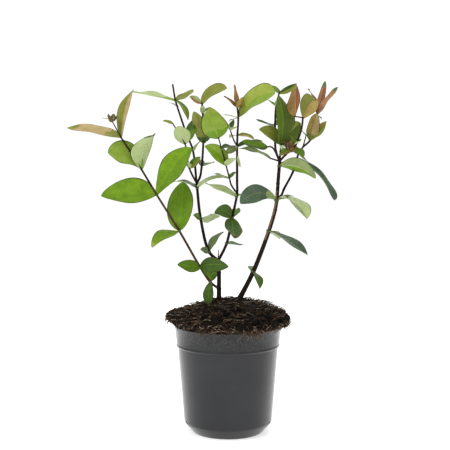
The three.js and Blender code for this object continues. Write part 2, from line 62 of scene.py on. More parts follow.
camera_data = bpy.data.cameras.new("camera")
camera_data.lens = CAMERA_LENS_MM
camera_data.shift_y = CAMERA_SHIFT_UP
camera_data.clip_start = 0.05
camera = bpy.data.objects.new("camera", camera_data)
camera.location = CAMERA_PLACE
camera.rotation_euler = (math.pi / 2 - CAMERA_TILT_DOWN, 0, 0)
scene.collection.objects.link(camera)
scene.camera = camera
print("camera", CAMERA_PLACE, "lens", CAMERA_LENS_MM)

# %% [markdown]
# The air and every material are small trees of shader nodes. The helpers below
# keep each one short: one feeds an input, one mixes two colours by a mask, and
# one makes cloudy noise. Effects that several finishes share are node groups,
# built once and placed with each finish's own values.

# %% Helpers for shader nodes
def set_inputs(node, **values):
    """Sets plain values of a node's inputs, each by its label with _ for a space."""
    for label, value in values.items():
        node.inputs[label.replace("_", " ")].default_value = value


class Tree:
    """A node tree with short calls for placing and joining nodes."""

    def __init__(self, tree):
        self.tree = tree

    def node(self, kind, **values):
        """A node of this kind, with plain values for some of its inputs."""
        made = self.tree.nodes.new(kind)
        set_inputs(made, **values)
        return made

    def join(self, source, socket):
        """Feeds an input from another node's output, or with a plain number or colour."""
        if isinstance(source, bpy.types.NodeSocket):
            self.tree.links.new(source, socket)
        else:
            socket.default_value = (*source, 1) if isinstance(source, tuple) else source

    def place(self):
        """Where a point of the surface lies, in metres."""
        return self.node("ShaderNodeTexCoord").outputs["Object"]

    def stretched(self, place, scale):
        """The place with a scale of its own for each axis, which draws noise out into streaks."""
        made = self.node("ShaderNodeMapping", Scale=scale)
        self.join(place, made.inputs["Vector"])
        return made.outputs["Vector"]

    def clouds(self, place, scale, detail, roughness=0.5):
        """Cloudy noise from 0 to 1, the finer the higher its scale."""
        made = self.node("ShaderNodeTexNoise", Detail=detail, Roughness=roughness)
        self.join(place, made.inputs["Vector"])
        self.join(scale, made.inputs["Scale"])
        return made.outputs[0]

    def span(self, source, low=0.0, high=1.0, bottom=0.0, top=1.0, kind="LINEAR"):
        """A value carried from one span, low to high, to another, bottom to top."""
        made = self.node("ShaderNodeMapRange")
        made.interpolation_type = kind
        labels = ("Value", "From Min", "From Max", "To Min", "To Max")
        for label, value in zip(labels, (source, low, high, bottom, top)):
            self.join(value, made.inputs[label])
        return made.outputs["Result"]

    def ramp(self, source, low, high):
        """A value that eases from 0 at the low end to 1 at the high end."""
        return self.span(source, low, high, kind="SMOOTHSTEP")

    def maths(self, kind, first, second):
        """A plain sum on two values, where each may be a socket or a number."""
        made = self.node("ShaderNodeMath")
        made.operation = kind
        self.join(first, made.inputs[0])
        self.join(second, made.inputs[1])
        return made.outputs[0]

    def mix(self, mask, first, second):
        """A colour between two, where each may be a socket or a plain colour."""
        made = self.node("ShaderNodeMix")
        made.data_type = "RGBA"
        for index, source in ((0, mask), (6, first), (7, second)):
            self.join(source, made.inputs[index])
        return made.outputs[2]

    def tinted(self, colour, tint, mask, strength):
        """A colour with a tint laid over it where the mask is, at most this strong."""
        return self.mix(self.maths("MULTIPLY", mask, strength), colour, tint)

    def group(self, name, **values):
        """What a node group gives out, placed with this material's own values."""
        made = self.tree.nodes.new("ShaderNodeGroup")
        made.node_tree = bpy.data.node_groups[name]
        set_inputs(made, **values)
        return made.outputs


def new_group(name, inputs, outputs):
    """A node group of plain values: its tree, what it is given and what it gives out."""
    group = bpy.data.node_groups.new(name, "ShaderNodeTree")
    for label, usual in inputs.items():
        socket = group.interface.new_socket(label, in_out="INPUT", socket_type="NodeSocketFloat")
        socket.default_value = usual
    for label in outputs:
        group.interface.new_socket(label, in_out="OUTPUT", socket_type="NodeSocketFloat")
    tree = Tree(group)
    return tree, tree.node("NodeGroupInput").outputs, tree.node("NodeGroupOutput").inputs


def new_material(name):
    """A material with its tree and its Principled shader."""
    material = bpy.data.materials.new(name)
    material.use_nodes = True
    return material, Tree(material.node_tree), material.node_tree.nodes["Principled BSDF"]


def add_bump(tree, shader, height, strength, distance):
    """Feeds a height into the shader's normal."""
    bump = tree.node("ShaderNodeBump", Strength=strength, Distance=distance)
    tree.join(height, bump.inputs["Height"])
    tree.join(bump.outputs["Normal"], shader.inputs["Normal"])


# %% [markdown]
# The plant stands in a bright white studio: one broad lamp high on the left
# gives the leaves their shape, a weaker one on the right opens the shadows, one
# behind lifts the edges, and one overhead fills the crown. The pale floor and
# the pale air run together, so only a faint shadow tells where the pot stands.

# %% Floor, air and lamps
PLANT_MIDDLE = Vector((0, 0, 0.24))


def linked(name, data):
    """An object for this data, placed in the scene."""
    made = bpy.data.objects.new(name, data)
    scene.collection.objects.link(made)
    return made


def add_lamp(name, place, size, watts):
    """A square soft lamp that faces the middle of the plant."""
    data = bpy.data.lights.new(name, "AREA")
    data.size = size
    data.energy = watts
    lamp = linked(name, data)
    lamp.location = place
    lamp.rotation_euler = (PLANT_MIDDLE - Vector(place)).to_track_quat("-Z", "Y").to_euler()


add_lamp("lamp_left", (-0.9, -1.1, 1.25), size=0.7, watts=11)
add_lamp("lamp_right", (1.2, -0.9, 0.7), size=0.8, watts=3)
add_lamp("lamp_back", (0.3, 1.1, 0.9), size=0.8, watts=5)
add_lamp("lamp_top", (0, 0, 1.5), size=0.9, watts=6)

AIR_SEEN = 1.05
AIR_LIGHT = 0.5
air = bpy.data.worlds.new("studio air")
air.use_nodes = True
air_tree = Tree(air.node_tree)
seen = air_tree.node("ShaderNodeLightPath").outputs["Is Camera Ray"]
background = air.node_tree.nodes["Background"]
set_inputs(background, Color=(1, 1, 1, 1))
air_tree.join(air_tree.span(seen, bottom=AIR_LIGHT, top=AIR_SEEN), background.inputs["Strength"])
scene.world = air
scene.view_settings.view_transform = "Standard"

FLOOR_HALF = 6
floor_mesh = bpy.data.meshes.new("floor")
corners = [(x * FLOOR_HALF, y * FLOOR_HALF, 0) for x, y in ((-1, -1), (1, -1), (1, 1), (-1, 1))]
floor_mesh.from_pydata(corners, [], [(0, 1, 2, 3)])
floor = linked("floor", floor_mesh)

# %% [markdown]
# Two effects come back in almost every finish: a soft mottle that keeps a
# surface from being one flat colour, and fine grit that breaks up its shine.
# Each is a group that only gives out masks and heights, so the material still
# decides what they do.

# %% Shared groups: mottle and grit
def build_mottle_group():
    """Soft patches, and smaller ones inside them, from 0 to 1."""
    tree, given, out = new_group("mottle", {"Patch Size": 120.0, "Contrast": 0.25}, ["Mask", "Fine"])
    place = tree.place()
    patches = tree.clouds(place, given["Patch Size"], 4.0, 0.6)
    low = tree.maths("SUBTRACT", 0.5, given["Contrast"])
    high = tree.maths("ADD", 0.5, given["Contrast"])
    tree.join(tree.span(patches, low, high), out["Mask"])
    finer = tree.maths("MULTIPLY", given["Patch Size"], 7.0)
    tree.join(tree.clouds(place, finer, 3.0, 0.7), out["Fine"])


def build_grit_group():
    """Tiny grains: a height for a bump, and sparse specks as a mask."""
    usual = {"Grain Size": 1500.0, "Speck Size": 420.0, "Sparse": 0.72}
    tree, given, out = new_group("grit", usual, ["Height", "Specks"])
    place = tree.place()
    tree.join(tree.clouds(place, given["Grain Size"], 2.0), out["Height"])
    specks = tree.clouds(place, given["Speck Size"], 5.0, 0.65)
    full = tree.maths("ADD", given["Sparse"], 0.05)
    tree.join(tree.span(specks, given["Sparse"], full), out["Specks"])


build_mottle_group()
build_grit_group()
print("groups", sorted(group.name for group in bpy.data.node_groups))

# %% Floor finish
def floor_finish():
    """Pale studio card, with the faintest mottle and a faint glow of its own."""
    material, tree, shader = new_material("pale studio card")
    mottle = tree.group("mottle", Patch_Size=6.0, Contrast=0.4)
    card = tree.mix(mottle["Mask"], (0.93, 0.93, 0.93), (0.95, 0.95, 0.95))
    tree.join(card, shader.inputs["Base Color"])
    set_inputs(shader, Roughness=0.9, Emission_Color=(1, 1, 1, 1), Emission_Strength=0.55)
    return material


floor_mesh.materials.append(floor_finish())
print("floor finish", floor_mesh.materials[0].name)

# %% [markdown]
# Thousands of small faces make the leaves, twigs and compost. Each kind is
# gathered in one pile of points and faces, with a material number for every
# face, and becomes one mesh at the end. That is much quicker than one object
# for each leaf. Everything round is a row of rings with faces between them.

# %% Helpers: a pile of faces that becomes one mesh, and rings of points
class Pile:
    """Points and faces gathered from many small pieces, which end as one object."""

    def __init__(self):
        self.points = []
        self.faces = []
        self.numbers = []
        self.count = 0

    def add(self, points, faces, numbers):
        """Adds points and their faces, with one material number or a number for each face."""
        points = np.asarray(points, dtype=float)
        self.points.append(points)
        self.faces += [tuple(index + self.count for index in face) for face in faces]
        self.numbers += numbers if isinstance(numbers, list) else [numbers] * len(faces)
        self.count += len(points)

    def finished(self, name, materials):
        """The pile as one smooth object with its materials."""
        mesh = bpy.data.meshes.new(name)
        mesh.from_pydata(np.concatenate(self.points).tolist(), [], self.faces)
        for material in materials:
            mesh.materials.append(material)
        mesh.polygons.foreach_set("material_index", self.numbers)
        mesh.polygons.foreach_set("use_smooth", [True] * len(self.faces))
        mesh.update()
        return linked(name, mesh)


def scatter(seed, index):
    """A repeatable number between 0 and 1 for each pair of whole numbers."""
    value = math.sin(seed * 12.9898 + index * 78.233) * 43758.5453
    return value - math.floor(value)


def unit(vector):
    """The vector at a length of one."""
    return vector / np.linalg.norm(vector)


def turns_of(sides):
    """The angles of the points of a ring."""
    return np.arange(sides) * 2 * math.pi / sides


def ring_round(centre, way, radius, turns, aside=(0, 1, 0)):
    """The points of a ring round a way, where the radius may differ from point to point."""
    across = unit(np.cross(aside, way))
    over = np.cross(way, across)
    return centre + np.outer(radius * np.cos(turns), across) + np.outer(radius * np.sin(turns), over)


def tube_faces(rings, sides, first=0):
    """The faces between rings of points that follow each other from the first point on."""
    faces = []
    for low in range(first, first + (rings - 1) * sides, sides):
        for side in range(sides):
            beside = (side + 1) % sides
            faces.append((low + side, low + beside, low + sides + beside, low + sides + side))
    return faces


# %% [markdown]
# Every stem is a run of internodes. An internode has a length in millimetres,
# a lean to the right and a swing to the back, so a stem is described the way a
# gardener would: so long, leaning so far. A smooth curve through the nodes
# gives the stem its gentle bends.

# %% Growing rule: nodes and the curve through them
def nodes_along(start, run):
    """The nodes of a stem, in metres, from its start through its internodes."""
    points = [np.array(start, dtype=float)]
    for long, lean, swing in run:
        lean, swing = math.radians(lean), math.radians(swing)
        flat = long * MM * math.cos(swing)
        step = np.array([flat * math.sin(lean), long * MM * math.sin(swing), flat * math.cos(lean)])
        points.append(points[-1] + step)
    return points


def curve_through(nodes, per_internode):
    """Points of a centripetal Catmull-Rom curve through the nodes, and the ways it runs."""
    padded = [2 * nodes[0] - nodes[1], *nodes, 2 * nodes[-1] - nodes[-2]]
    points = []
    for index in range(len(nodes) - 1):
        before, start, end, after = padded[index:index + 4]
        gaps = [max(1e-6, np.linalg.norm(b - a)) ** 0.5
                for a, b in ((before, start), (start, end), (end, after))]
        leave = ((start - before) / gaps[0] - (end - before) / (gaps[0] + gaps[1])
                 + (end - start) / gaps[1]) * gaps[1]
        arrive = ((end - start) / gaps[1] - (after - start) / (gaps[1] + gaps[2])
                  + (after - end) / gaps[2]) * gaps[1]
        for t in np.arange(per_internode) / per_internode:
            cube, square = t ** 3, t ** 2
            points.append((2 * cube - 3 * square + 1) * start + (cube - 2 * square + t) * leave
                          + (3 * square - 2 * cube) * end + (cube - square) * arrive)
    points = np.array([*points, nodes[-1]])
    ways = np.gradient(points, axis=0)
    return points, ways / np.linalg.norm(ways, axis=1)[:, None]


# %% [markdown]
# A young stem isn't a smooth tube. It has two low ridges that run down from
# each pair of leaves, a swollen ring at each node where leaves sit or have
# fallen, and fine lengthwise wrinkles. All of that is real relief in the mesh,
# so that it shows against the white background. The thick right stem also has
# a painted highlight: a ragged tan strip up the flank that faces the key lamp.

# %% Growing rule: a stem with ridges, rings and wrinkles
RING_STEP_MM = 0.9
FLARE_REACH_MM = 6
SWELLING, SWELLING_WIDE_MM = 0.14, 1.1
GROOVE, GROOVE_ABOVE_MM, GROOVE_WIDE_MM = 0.07, 1.9, 0.5
RIDGE_RELIEF = 0.035
WRINKLE_RELIEF = 0.035
DOME_SHARE = 0.35
# The painted highlight up a stem's lit flank: its turn round the stem and its half width, as shares of a
# turn.
FLANK_TURN, FLANK_HALF = 0.6, 0.12


def painted_highlight_strip(numbers, painted_highlight, start, end, rings, sides, seed):
    """Gives the faces of a ragged strip up one side of a stem the number of the painted highlight."""
    for index in range(len(numbers)):
        ring, side = divmod(index, sides)
        shift = noise.noise(Vector((ring * 0.11, seed, 0.0)))
        near = abs(side / sides - FLANK_TURN) < FLANK_HALF * (1 + shift)
        if near and start < ring / rings + 0.2 * shift < end:
            numbers[index] = painted_highlight


def add_stem(pile, number, nodes, thick_foot, thick_tip, sides, flare=0.0, seed=0, flank=None):
    """A tapering stem through its nodes, added to a pile. A flank is the painted highlight's number, a start
    and an end.
    """
    length_mm = sum(np.linalg.norm(b - a) for a, b in zip(nodes, nodes[1:])) / MM
    per_internode = max(3, max(10, int(length_mm / RING_STEP_MM)) // (len(nodes) - 1))
    course, ways = curve_through(nodes, per_internode)
    steps = np.linalg.norm(np.diff(course, axis=0), axis=1)
    reaches = np.concatenate([[0], np.cumsum(steps)]) / MM
    turns = turns_of(sides)
    rings = []
    for point, way, reach in zip(course, ways, reaches):
        share = reach / reaches[-1]
        thick = thick_foot + (thick_tip - thick_foot) * share + flare * math.exp(-reach / FLARE_REACH_MM)
        for node in range(1, len(nodes) - 1):
            apart = reach - reaches[node * per_internode]
            thick += SWELLING * thick_tip * math.exp(-((apart / SWELLING_WIDE_MM) ** 2))
            thick -= GROOVE * thick_tip * math.exp(-(((apart - GROOVE_ABOVE_MM) / GROOVE_WIDE_MM) ** 2))
        places = [Vector((math.cos(t) * 2.4, math.sin(t) * 2.4, reach * 0.35 + seed)) for t in turns]
        relief = RIDGE_RELIEF * np.cos(2 * turns + 0.6 * share)
        relief += WRINKLE_RELIEF * np.array([noise.noise(place) for place in places])
        rings.append(ring_round(point, way, thick * MM / 2 * (1 + relief), turns))
    faces = tube_faces(len(rings), sides)
    numbers = [number] * len(faces)
    if flank:
        painted_highlight_strip(numbers, *flank, len(rings), sides, seed)
    top = len(rings) * sides
    faces.append(tuple(range(sides - 1, -1, -1)))
    faces += [(top - sides + side, top - sides + (side + 1) % sides, top) for side in range(sides)]
    dome = course[-1] + ways[-1] * thick_tip * MM * DOME_SHARE
    pile.add(np.vstack([*rings, dome]), faces, numbers + [number] * (sides + 1))


# %% [markdown]
# A leaf is a thin blade with two skins: a green upper side and a pale, almost
# silvery underside. Its outline is egg-shaped, its midrib droops by a stated
# angle, and it is rolled so that as much of its face shows as in the
# photograph. The mesh is fine enough to hold a grooved midrib, pressed-in side
# veins and a wavy edge. Narrow strips of faces down the middle and along the
# edge take the rib's and the margin's own colours.

# %% Growing rule: what a leaf's plan says
# Lengths are in millimetres and angles in degrees. The heading is the way it
# points round the stem, the rise is how steeply, show is its roll and droop is
# how far its midrib bends. The tint is its upper side's, and under, base, half,
# edge and tip are those parts' own. A spot is a scorched place: how far along,
# how far to the side, and how large.
USUAL_LEAF = dict(under="pale", base=None, half=None, edge="margin", tip=None,
                  widest=0.455, wave=0.6, curl=0.0, spot=None)


def leaf(at, long, heading, rise, show=0, tint="mid", broad=0.44, droop=20, **own):
    """A leaf's plan: where it stands, how it lies and what is its own."""
    return USUAL_LEAF | dict(at=at, long=long, heading=heading, rise=rise, show=show,
                             tint=tint, broad=broad, droop=droop) | own


print("a leaf's plan", leaf(at=1, long=40, heading=0, rise=30))

# %% Growing rule: the shape of a leaf
BLADE_ROWS = 36
BLADE_COLUMNS = np.array([-1, -0.94, -0.78, -0.6, -0.42, -0.22, -0.05,
                          0.05, 0.22, 0.42, 0.6, 0.78, 0.94, 1])
BLADE_THICK_MM = 0.34
FOLD = 0.2
TWIST = math.radians(14)
STALK_HALF_MM, STALK_SHARE = 0.7, 0.06
POINT_HALF_MM = 0.02
WAVE_HEIGHT = 0.035
SIDE_VEINS = 6
VEIN_RELIEF, VEIN_WIDE = 0.009, 0.16
RIB_RELIEF, RIB_WIDE = 0.007, 0.12


def leaf_outline(along, widest):
    """Half the width of an egg-shaped leaf at a share of its length, as a share of the widest."""
    early = math.log(0.5) / math.log(widest)
    return np.clip(np.sin(math.pi * np.clip(along, 0, 1) ** early), 0, 1) ** 0.7


def midrib_of(base, plan, along):
    """The points of a leaf's midrib, bent evenly by its droop."""
    rise, heading = math.radians(plan["rise"]), math.radians(plan["heading"])
    pitch = math.radians(plan["droop"]) * (0.5 - (along[:-1] + along[1:]) / 2)
    out = np.concatenate([[0], np.cumsum(np.cos(pitch))])
    high = np.concatenate([[0], np.cumsum(np.sin(pitch))])
    scale = plan["long"] * MM / out[-1]
    flat = (out * math.cos(rise) - high * math.sin(rise)) * scale
    tall = (out * math.sin(rise) + high * math.cos(rise)) * scale
    return base + np.stack([flat * math.cos(heading), flat * math.sin(heading), tall], axis=1)


def blade_points(base, plan, seed):
    """The points of a leaf's upper skin, row by row, then those of its underside without the edges."""
    along = np.linspace(0, 1, BLADE_ROWS + 1)
    midrib = midrib_of(base, plan, along)
    ways = np.gradient(midrib, axis=0)
    ways /= np.linalg.norm(ways, axis=1)[:, None]
    heading = math.radians(plan["heading"])
    level = np.array([math.sin(heading), -math.cos(heading), 0.0])
    front = 1 if math.cos(heading) >= 0 else -1
    roll = math.radians(plan["show"]) + TWIST * (scatter(seed, 1) - 0.5) * along
    face = np.cross(level, ways) * np.cos(roll)[:, None] + level * (front * np.sin(roll))[:, None]
    left = np.cross(face, ways)
    left /= np.linalg.norm(left, axis=1)[:, None]

    long = plan["long"] * MM
    half = long * plan["broad"] * leaf_outline(along, plan["widest"]) / 2
    half = np.maximum(half, STALK_HALF_MM * MM * (1 - np.clip(along / STALK_SHARE, 0, 1)))
    half[-1] = POINT_HALF_MM * MM
    along, half, wide = along[:, None], half[:, None], np.abs(BLADE_COLUMNS)[None, :]
    lift = half * (FOLD * wide ** 1.25 + plan["curl"] * wide ** 3)
    ripple = along * (7 + 4 * scatter(seed, 3)) + 6.28 * scatter(seed, 2)
    ripple = ripple + 1.4 * np.sign(BLADE_COLUMNS)[None, :]
    lift += plan["wave"] * WAVE_HEIGHT * long * wide ** 2 * np.sin(ripple)
    from_vein = (along * SIDE_VEINS - wide * 0.9 + 0.5) % 1 - 0.5
    vein = np.exp(-(from_vein / VEIN_WIDE) ** 2) * np.sin(math.pi * wide) * (along > 0.08)
    relief = long * VEIN_RELIEF * vein
    groove = long * RIB_RELIEF * np.exp(-((wide / RIB_WIDE) ** 2))
    body = BLADE_THICK_MM * MM * (0.25 + 0.75 * (1 - wide) ** 0.4) * np.clip((1 - along) / 0.08, 0.15, 1)
    upper = lift + body / 2 - relief - groove
    upper[:, [0, -1]] = lift[:, [0, -1]]
    under = lift - body / 2 - relief * 0.9 - groove * 1.5
    place = midrib[:, None, :] + left[:, None, :] * (half * BLADE_COLUMNS[None, :])[..., None]
    top = place + face[:, None, :] * upper[..., None]
    low = place + face[:, None, :] * under[..., None]
    return np.concatenate([top.reshape(-1, 3), low[:, 1:-1].reshape(-1, 3)])


print("points of a leaf", len(blade_points(np.zeros(3), leaf(at=1, long=40, heading=0, rise=30), seed=1)))

# %% Growing rule: the faces of a leaf and their tints
RIB_STRIP, RIB_UNTIL = 6, 0.92
MARGIN_FROM = 0.94
TIP_FROM = 0.82
BASE_UNTIL = 0.26
RAGGED = 0.06
RIB_OF = {
    "dark": "mid", "green": "fresh", "moss": "olive", "mid": "fresh", "fresh": "fresh", "lime": "lime",
    "olive": "olive", "blue": "grey", "grey": "sage", "sage": "pale", "pale": "rib pale", "yellow": "lime",
    "peach": "peach", "rose": "blush", "blush": "peach", "bronze": "blush", "gold": "bronze",
}


def skin_tints(plan, row, column, seed):
    """The tints of a blade's upper and under face at a row and column."""
    along = row / BLADE_ROWS
    middle = (BLADE_COLUMNS[column] + BLADE_COLUMNS[column + 1]) / 2
    ragged = RAGGED * (scatter(seed + row, column) - 0.5)
    if plan["spot"]:
        where, side, size = plan["spot"]
        if math.hypot(along - where, (middle - side) * plan["broad"] / 2) < size:
            return "scorch", "scorch"
    if abs(middle) > MARGIN_FROM:
        return plan["edge"], plan["edge"]
    if column == RIB_STRIP and along < RIB_UNTIL:
        return RIB_OF.get(plan["tint"], "rib"), RIB_OF.get(plan["under"], "rib pale")
    if plan["tip"] and along + ragged > TIP_FROM + RAGGED * scatter(seed, 4) - 0.05 * abs(middle):
        return plan["tip"], plan["tip"]
    if plan["base"] and along + ragged < BASE_UNTIL + RAGGED * scatter(seed, 5) - 0.1 * abs(middle):
        return plan["base"], plan["base"]
    if plan["half"] and middle + ragged > 0:
        return plan["half"], plan["half"]
    return plan["tint"], plan["under"]


def add_leaf(pile, numbers, base, plan, seed):
    """One leaf, added to a pile. The numbers give the material of each tint."""
    count = len(BLADE_COLUMNS)

    def under_index(row, column):
        if column in (0, count - 1):
            return row * count + column
        return (BLADE_ROWS + 1) * count + row * (count - 2) + column - 1

    faces, kinds = [], []
    for row in range(BLADE_ROWS):
        for column in range(count - 1):
            here = row * count + column
            faces.append((here, here + count, here + count + 1, here + 1))
            faces.append((under_index(row, column), under_index(row, column + 1),
                          under_index(row + 1, column + 1), under_index(row + 1, column)))
            kinds += [numbers[tint] for tint in skin_tints(plan, row, column, seed)]
    pile.add(blade_points(base, plan, seed), faces, kinds)


print("faces of a leaf", 2 * BLADE_ROWS * (len(BLADE_COLUMNS) - 1))

# %% [markdown]
# The plan of the plant, stem by stem and leaf by leaf. The woody stems come up
# as two: the left one forks three times, the right one twice. Lengths are in
# millimetres and angles in degrees, as the solids were grown. Each leaf also
# has its tint here: most are grass green, the oldest are dark, and the youngest
# at the right are rose and bronze.

# %% Plan: the woody stems
HEAP_TOP_MM = 158.5
HEAP_PEAK_MM = 8
HEAP_DROP_MM = 8.5
HEAP_REACH_MM = 45
HEAP_TILT = 0.03
SOCKET_MM = 3


def heap_height(x, y):
    """The height of the compost's heap at a place, in millimetres, before its lumps."""
    out = math.hypot(x - HEAP_PEAK_MM, y)
    return HEAP_TOP_MM - HEAP_DROP_MM * (out / HEAP_REACH_MM) ** 1.8 - HEAP_TILT * x


LIMBS = {
    "stem_left": dict(foot=(-10.8, 0), thick=(5.2, 4.5), flare=2.8, stub=(13, 1.5, 0.9),
                      run=[(17.1, 0, 0), (20, 0, 0), (14, -3, 0)]),
    # The right stem carries a tan painted highlight up its lit flank, from 0.3 to 0.75 of its length.
    "stem_right": dict(foot=(11.6, 0), thick=(5.8, 3.8), flare=2.8, painted_highlight=(0.3, 0.75),
                       run=[(40.8, 27, 1), (52.5, 21, 3), (26.5, 16.5, 2),
                            (15, 8.5, 4), (17, 4, 3), (26.5, 4.5, 4)]),
    "bough_far_left": dict(start=("stem_left", 1), thick=(3.1, 2.4),
                           run=[(14, -50, -14), (22, -33, -12), (51.5, -29, -10),
                                (50.5, -31, -10), (12, -30, -10)]),
    "bough_middle_left": dict(start=("stem_left", 3), thick=(3.7, 3.1),
                              run=[(15, -47, 4), (41, -14.5, 4), (42.5, -6.5, 4)]),
    "bough_middle_right": dict(start=("stem_left", 3), thick=(3.4, 2.8),
                               run=[(23, 25.5, -3), (31, 12, -3), (30, 11.5, -2), (12, 0, 0)]),
    "bough_right_side": dict(start=("stem_right", 4), thick=(2.9, 2.3),
                             run=[(6, 70, 28), (9, 25, 20), (24, 28.5, 16), (24.5, 18.5, 15), (10, 34, 12)]),
}

nodes_of = {}
for limb_name, limb in LIMBS.items():
    if "foot" in limb:
        x, y = limb["foot"]
        start = (x * MM, y * MM, (heap_height(x, y) - SOCKET_MM) * MM)
    else:
        parent, node = limb["start"]
        start = nodes_of[parent][node]
    nodes_of[limb_name] = nodes_along(start, limb["run"])
print("limbs", {name: len(nodes) for name, nodes in nodes_of.items()})

# %% Plan: the leafy shoots on the left
SPRAYS = {}
SPRAYS["spray_far_left"] = dict(
    start=("bough_far_left", 5), thick=(2.5, 2), run=[(24, -30, -10), (44, -31.5, -10)],
    leaves=[
        leaf(1, 44, -170, 27, 70, "lime", 0.64, 90, base="fresh", widest=0.6),
        leaf(1, 50, -60, 52, 21, "mid", 0.64, 105, tip="dark"),
        leaf(2, 70, 164, 10, 14, "peach", 0.43, 12, base="olive", edge="rose", tip="olive", wave=0.3),
        leaf(2, 66, 68, 61, -27, "peach", 0.32, 60, half="olive", edge="rose", wave=0.3),
    ],
    twigs=[dict(at=2, thick=(1.5, 1.2), run=[(24, -27, -20)],
                leaves=[leaf(1, 12, -161, 12, 0, "olive"), leaf(1, 11, 30, 30, 0, "olive")],
                buds=[dict(at=1, wide=9)])],
)
SPRAYS["spray_middle_left_low"] = dict(
    start=("bough_middle_left", 3), thick=(2.5, 1.5), run=[(24, -24, -26), (31, -9, -22), (28, -31, -12)],
    leaves=[
        leaf(1, 27, -165, 30, 0, "dark"),
        leaf(1, 19, -5, 46, 90, "olive", 0.49, half="mid"),
        leaf(2, 27, -120, 52, -20, "sage", 0.75, 30, half="pale", edge="mid"),
        leaf(3, 13, 172, 18, 40, "olive", 0.4, 40),
        leaf(2, 30, 59, 40, 0, "mid"),
    ],
    seed=3, axils=[(1, 2)],
)
SPRAYS["spray_middle_left_tall"] = dict(
    start=("bough_middle_left", 3), thick=(2.8, 2.1),
    run=[(41.5, -7, 15), (22, -21.5, 13), (36.5, -19, 12), (8, -16, 8), (19, -10, 8)],
    leaves=[
        leaf(2, 25, -49, 49, 90, "dark", 0.53, -20),
        leaf(2, 26, 124, 16, 0, "dark"),
        leaf(4, 54, 177, 12, 15, "pale", 0.42, 5, base="lime", under="lime", edge="sage"),
        leaf(4, 34, 47, 25, 11, "olive", 0.39, -10),
        leaf(4, 31, -37, -52, 15, "olive", 0.27, 70, half="mid", widest=0.42),
    ],
    seed=5, axils=[(1, 2), (3, 1)],
)
SPRAYS["spray_middle_left_right"] = dict(
    start=("bough_middle_left", 3), thick=(2.8, 2.2),
    run=[(8.5, 27, 8), (15, 9, 3), (28, 3.5, 0), (34, -1, -2), (12.5, -3.5, -3)],
    leaves=[
        leaf(2, 30, 62, 9, -4, "grey", 0.5, -10),
        leaf(2, 18, 95, 25, 0, "grey"),
        leaf(3, 40, -140, 69, -2, "olive", 0.7, 5, under="olive", base="dark", widest=0.35),
        leaf(3, 34, -65, 15, 60, "dark"),
        leaf(5, 38, -28, 28, 58, "olive", 0.52, 70),
        leaf(5, 25, 132, 21, 90, "sage", 0.3, 26, half="bronze"),
    ],
    seed=7, axils=[(4, 2)],
)

# %% Plan: the leafy shoots in the middle
SPRAYS["spray_middle_front"] = dict(
    start=("bough_middle_right", 3), thick=(2.1, 1.4),
    run=[(14, -33, -24), (10.5, -15, -24), (17, -15, -24), (35.5, -15, -22)],
    leaves=[
        leaf(2, 25, -137, 14, 34, "sage", 0.39, -15),
        leaf(2, 16, 60, 26, 0, "mid"),
        leaf(3, 36, -154, 40, 95, "lime", 0.46, 60, half="fresh"),
        leaf(3, 30, -67, 17, 0, "mid"),
        leaf(4, 54, 107, 43, 16, "lime", 0.58, -18, tip="yellow", base="green", widest=0.35),
        leaf(4, 36, 138, 5, 25, "olive"),
    ],
)
SPRAYS["spray_middle_top"] = dict(
    start=("bough_middle_right", 4), thick=(3, 2.2),
    run=[(44.5, 0, -3), (14, 1.5, -4), (20.5, 2.5, -3), (12, -6, 0)],
    leaves=[
        leaf(1, 35, -125, -4, 12, "dark", 0.33, 30),
        leaf(1, 21, -135, -22, 60, "sage", 0.42, 25),
        leaf(1, 36, 28, 11, 11, "dark", 0.33, 42),
        leaf(2, 22, 24, -10, 42, "peach", 0.36, 46, half="olive", edge="olive", widest=0.55),
        leaf(2, 24, 111, -6, 0, "mid"),
        leaf(3, 60, -37, 28, 58, "lime", 0.6, 60, half="yellow", base="olive", widest=0.57),
        leaf(3, 20, -159, 11, 0, "dark", 0.25),
        leaf(3, 14, 151, -15, 0, "dark", 0.3),
        leaf(1, 24, -25, -80, 60, "pale", 0.13, -20, edge="peach", widest=0.75),
        leaf(4, 23, -150, 36, 50, "bronze", 0.3, under="bronze", tip="scorch"),
        leaf(4, 28, -120, 76, 20, "bronze", 0.3, -10, under="bronze", tip="rose"),
        leaf(4, 17, -60, 48, 0, "gold", 0.6, -60, under="gold"),
    ],
    twigs=[dict(at=1, thick=(1.8, 1.4), run=[(7.5, -30, -8), (14.5, -20, -16)],
                leaves=[
                    leaf(2, 14, -130, 41, 0, "mid", 0.5),
                    leaf(2, 16, 61, 58, 0, "dark"),
                    leaf(2, 14, -57, 18, 0, "mid", 0.5),
                ])],
)

# %% Plan: the leafy shoots on the right
SPRAYS["spray_right_tall"] = dict(
    start=("stem_right", 6), thick=(3, 2),
    run=[(14, -20, 25), (15, -3, 22), (19.5, 1, 20), (23.5, 3.5, 15), (17.5, 14, 10)],
    leaves=[
        leaf(2, 26, 111, 31, 0, "mid"),
        leaf(3, 26, 156, 18, 13, "dark", 0.32, -20),
        leaf(3, 30, 60, 15, 0, "mid", 0.4),
        leaf(5, 25, 0, 29, 90, "olive", 0.32, -20, half="dark"),
        leaf(5, 24, 120, 26, 0, "mid"),
    ],
    seed=11, axils=[(4, 2)],
)
SPRAYS["spray_right_middle"] = dict(
    start=("stem_right", 6), thick=(2.5, 2.1), run=[(12.5, 4, -6), (9, 3, -8)],
    leaves=[
        leaf(2, 36, -148, 29, 92, "olive", 0.44, 70),
        leaf(2, 60, 114, 83, -30, "moss", 0.62, 70, half="mid", widest=0.4),
        leaf(2, 37, 22, 46, 70, "moss", 0.66, 20, half="olive"),
    ],
)
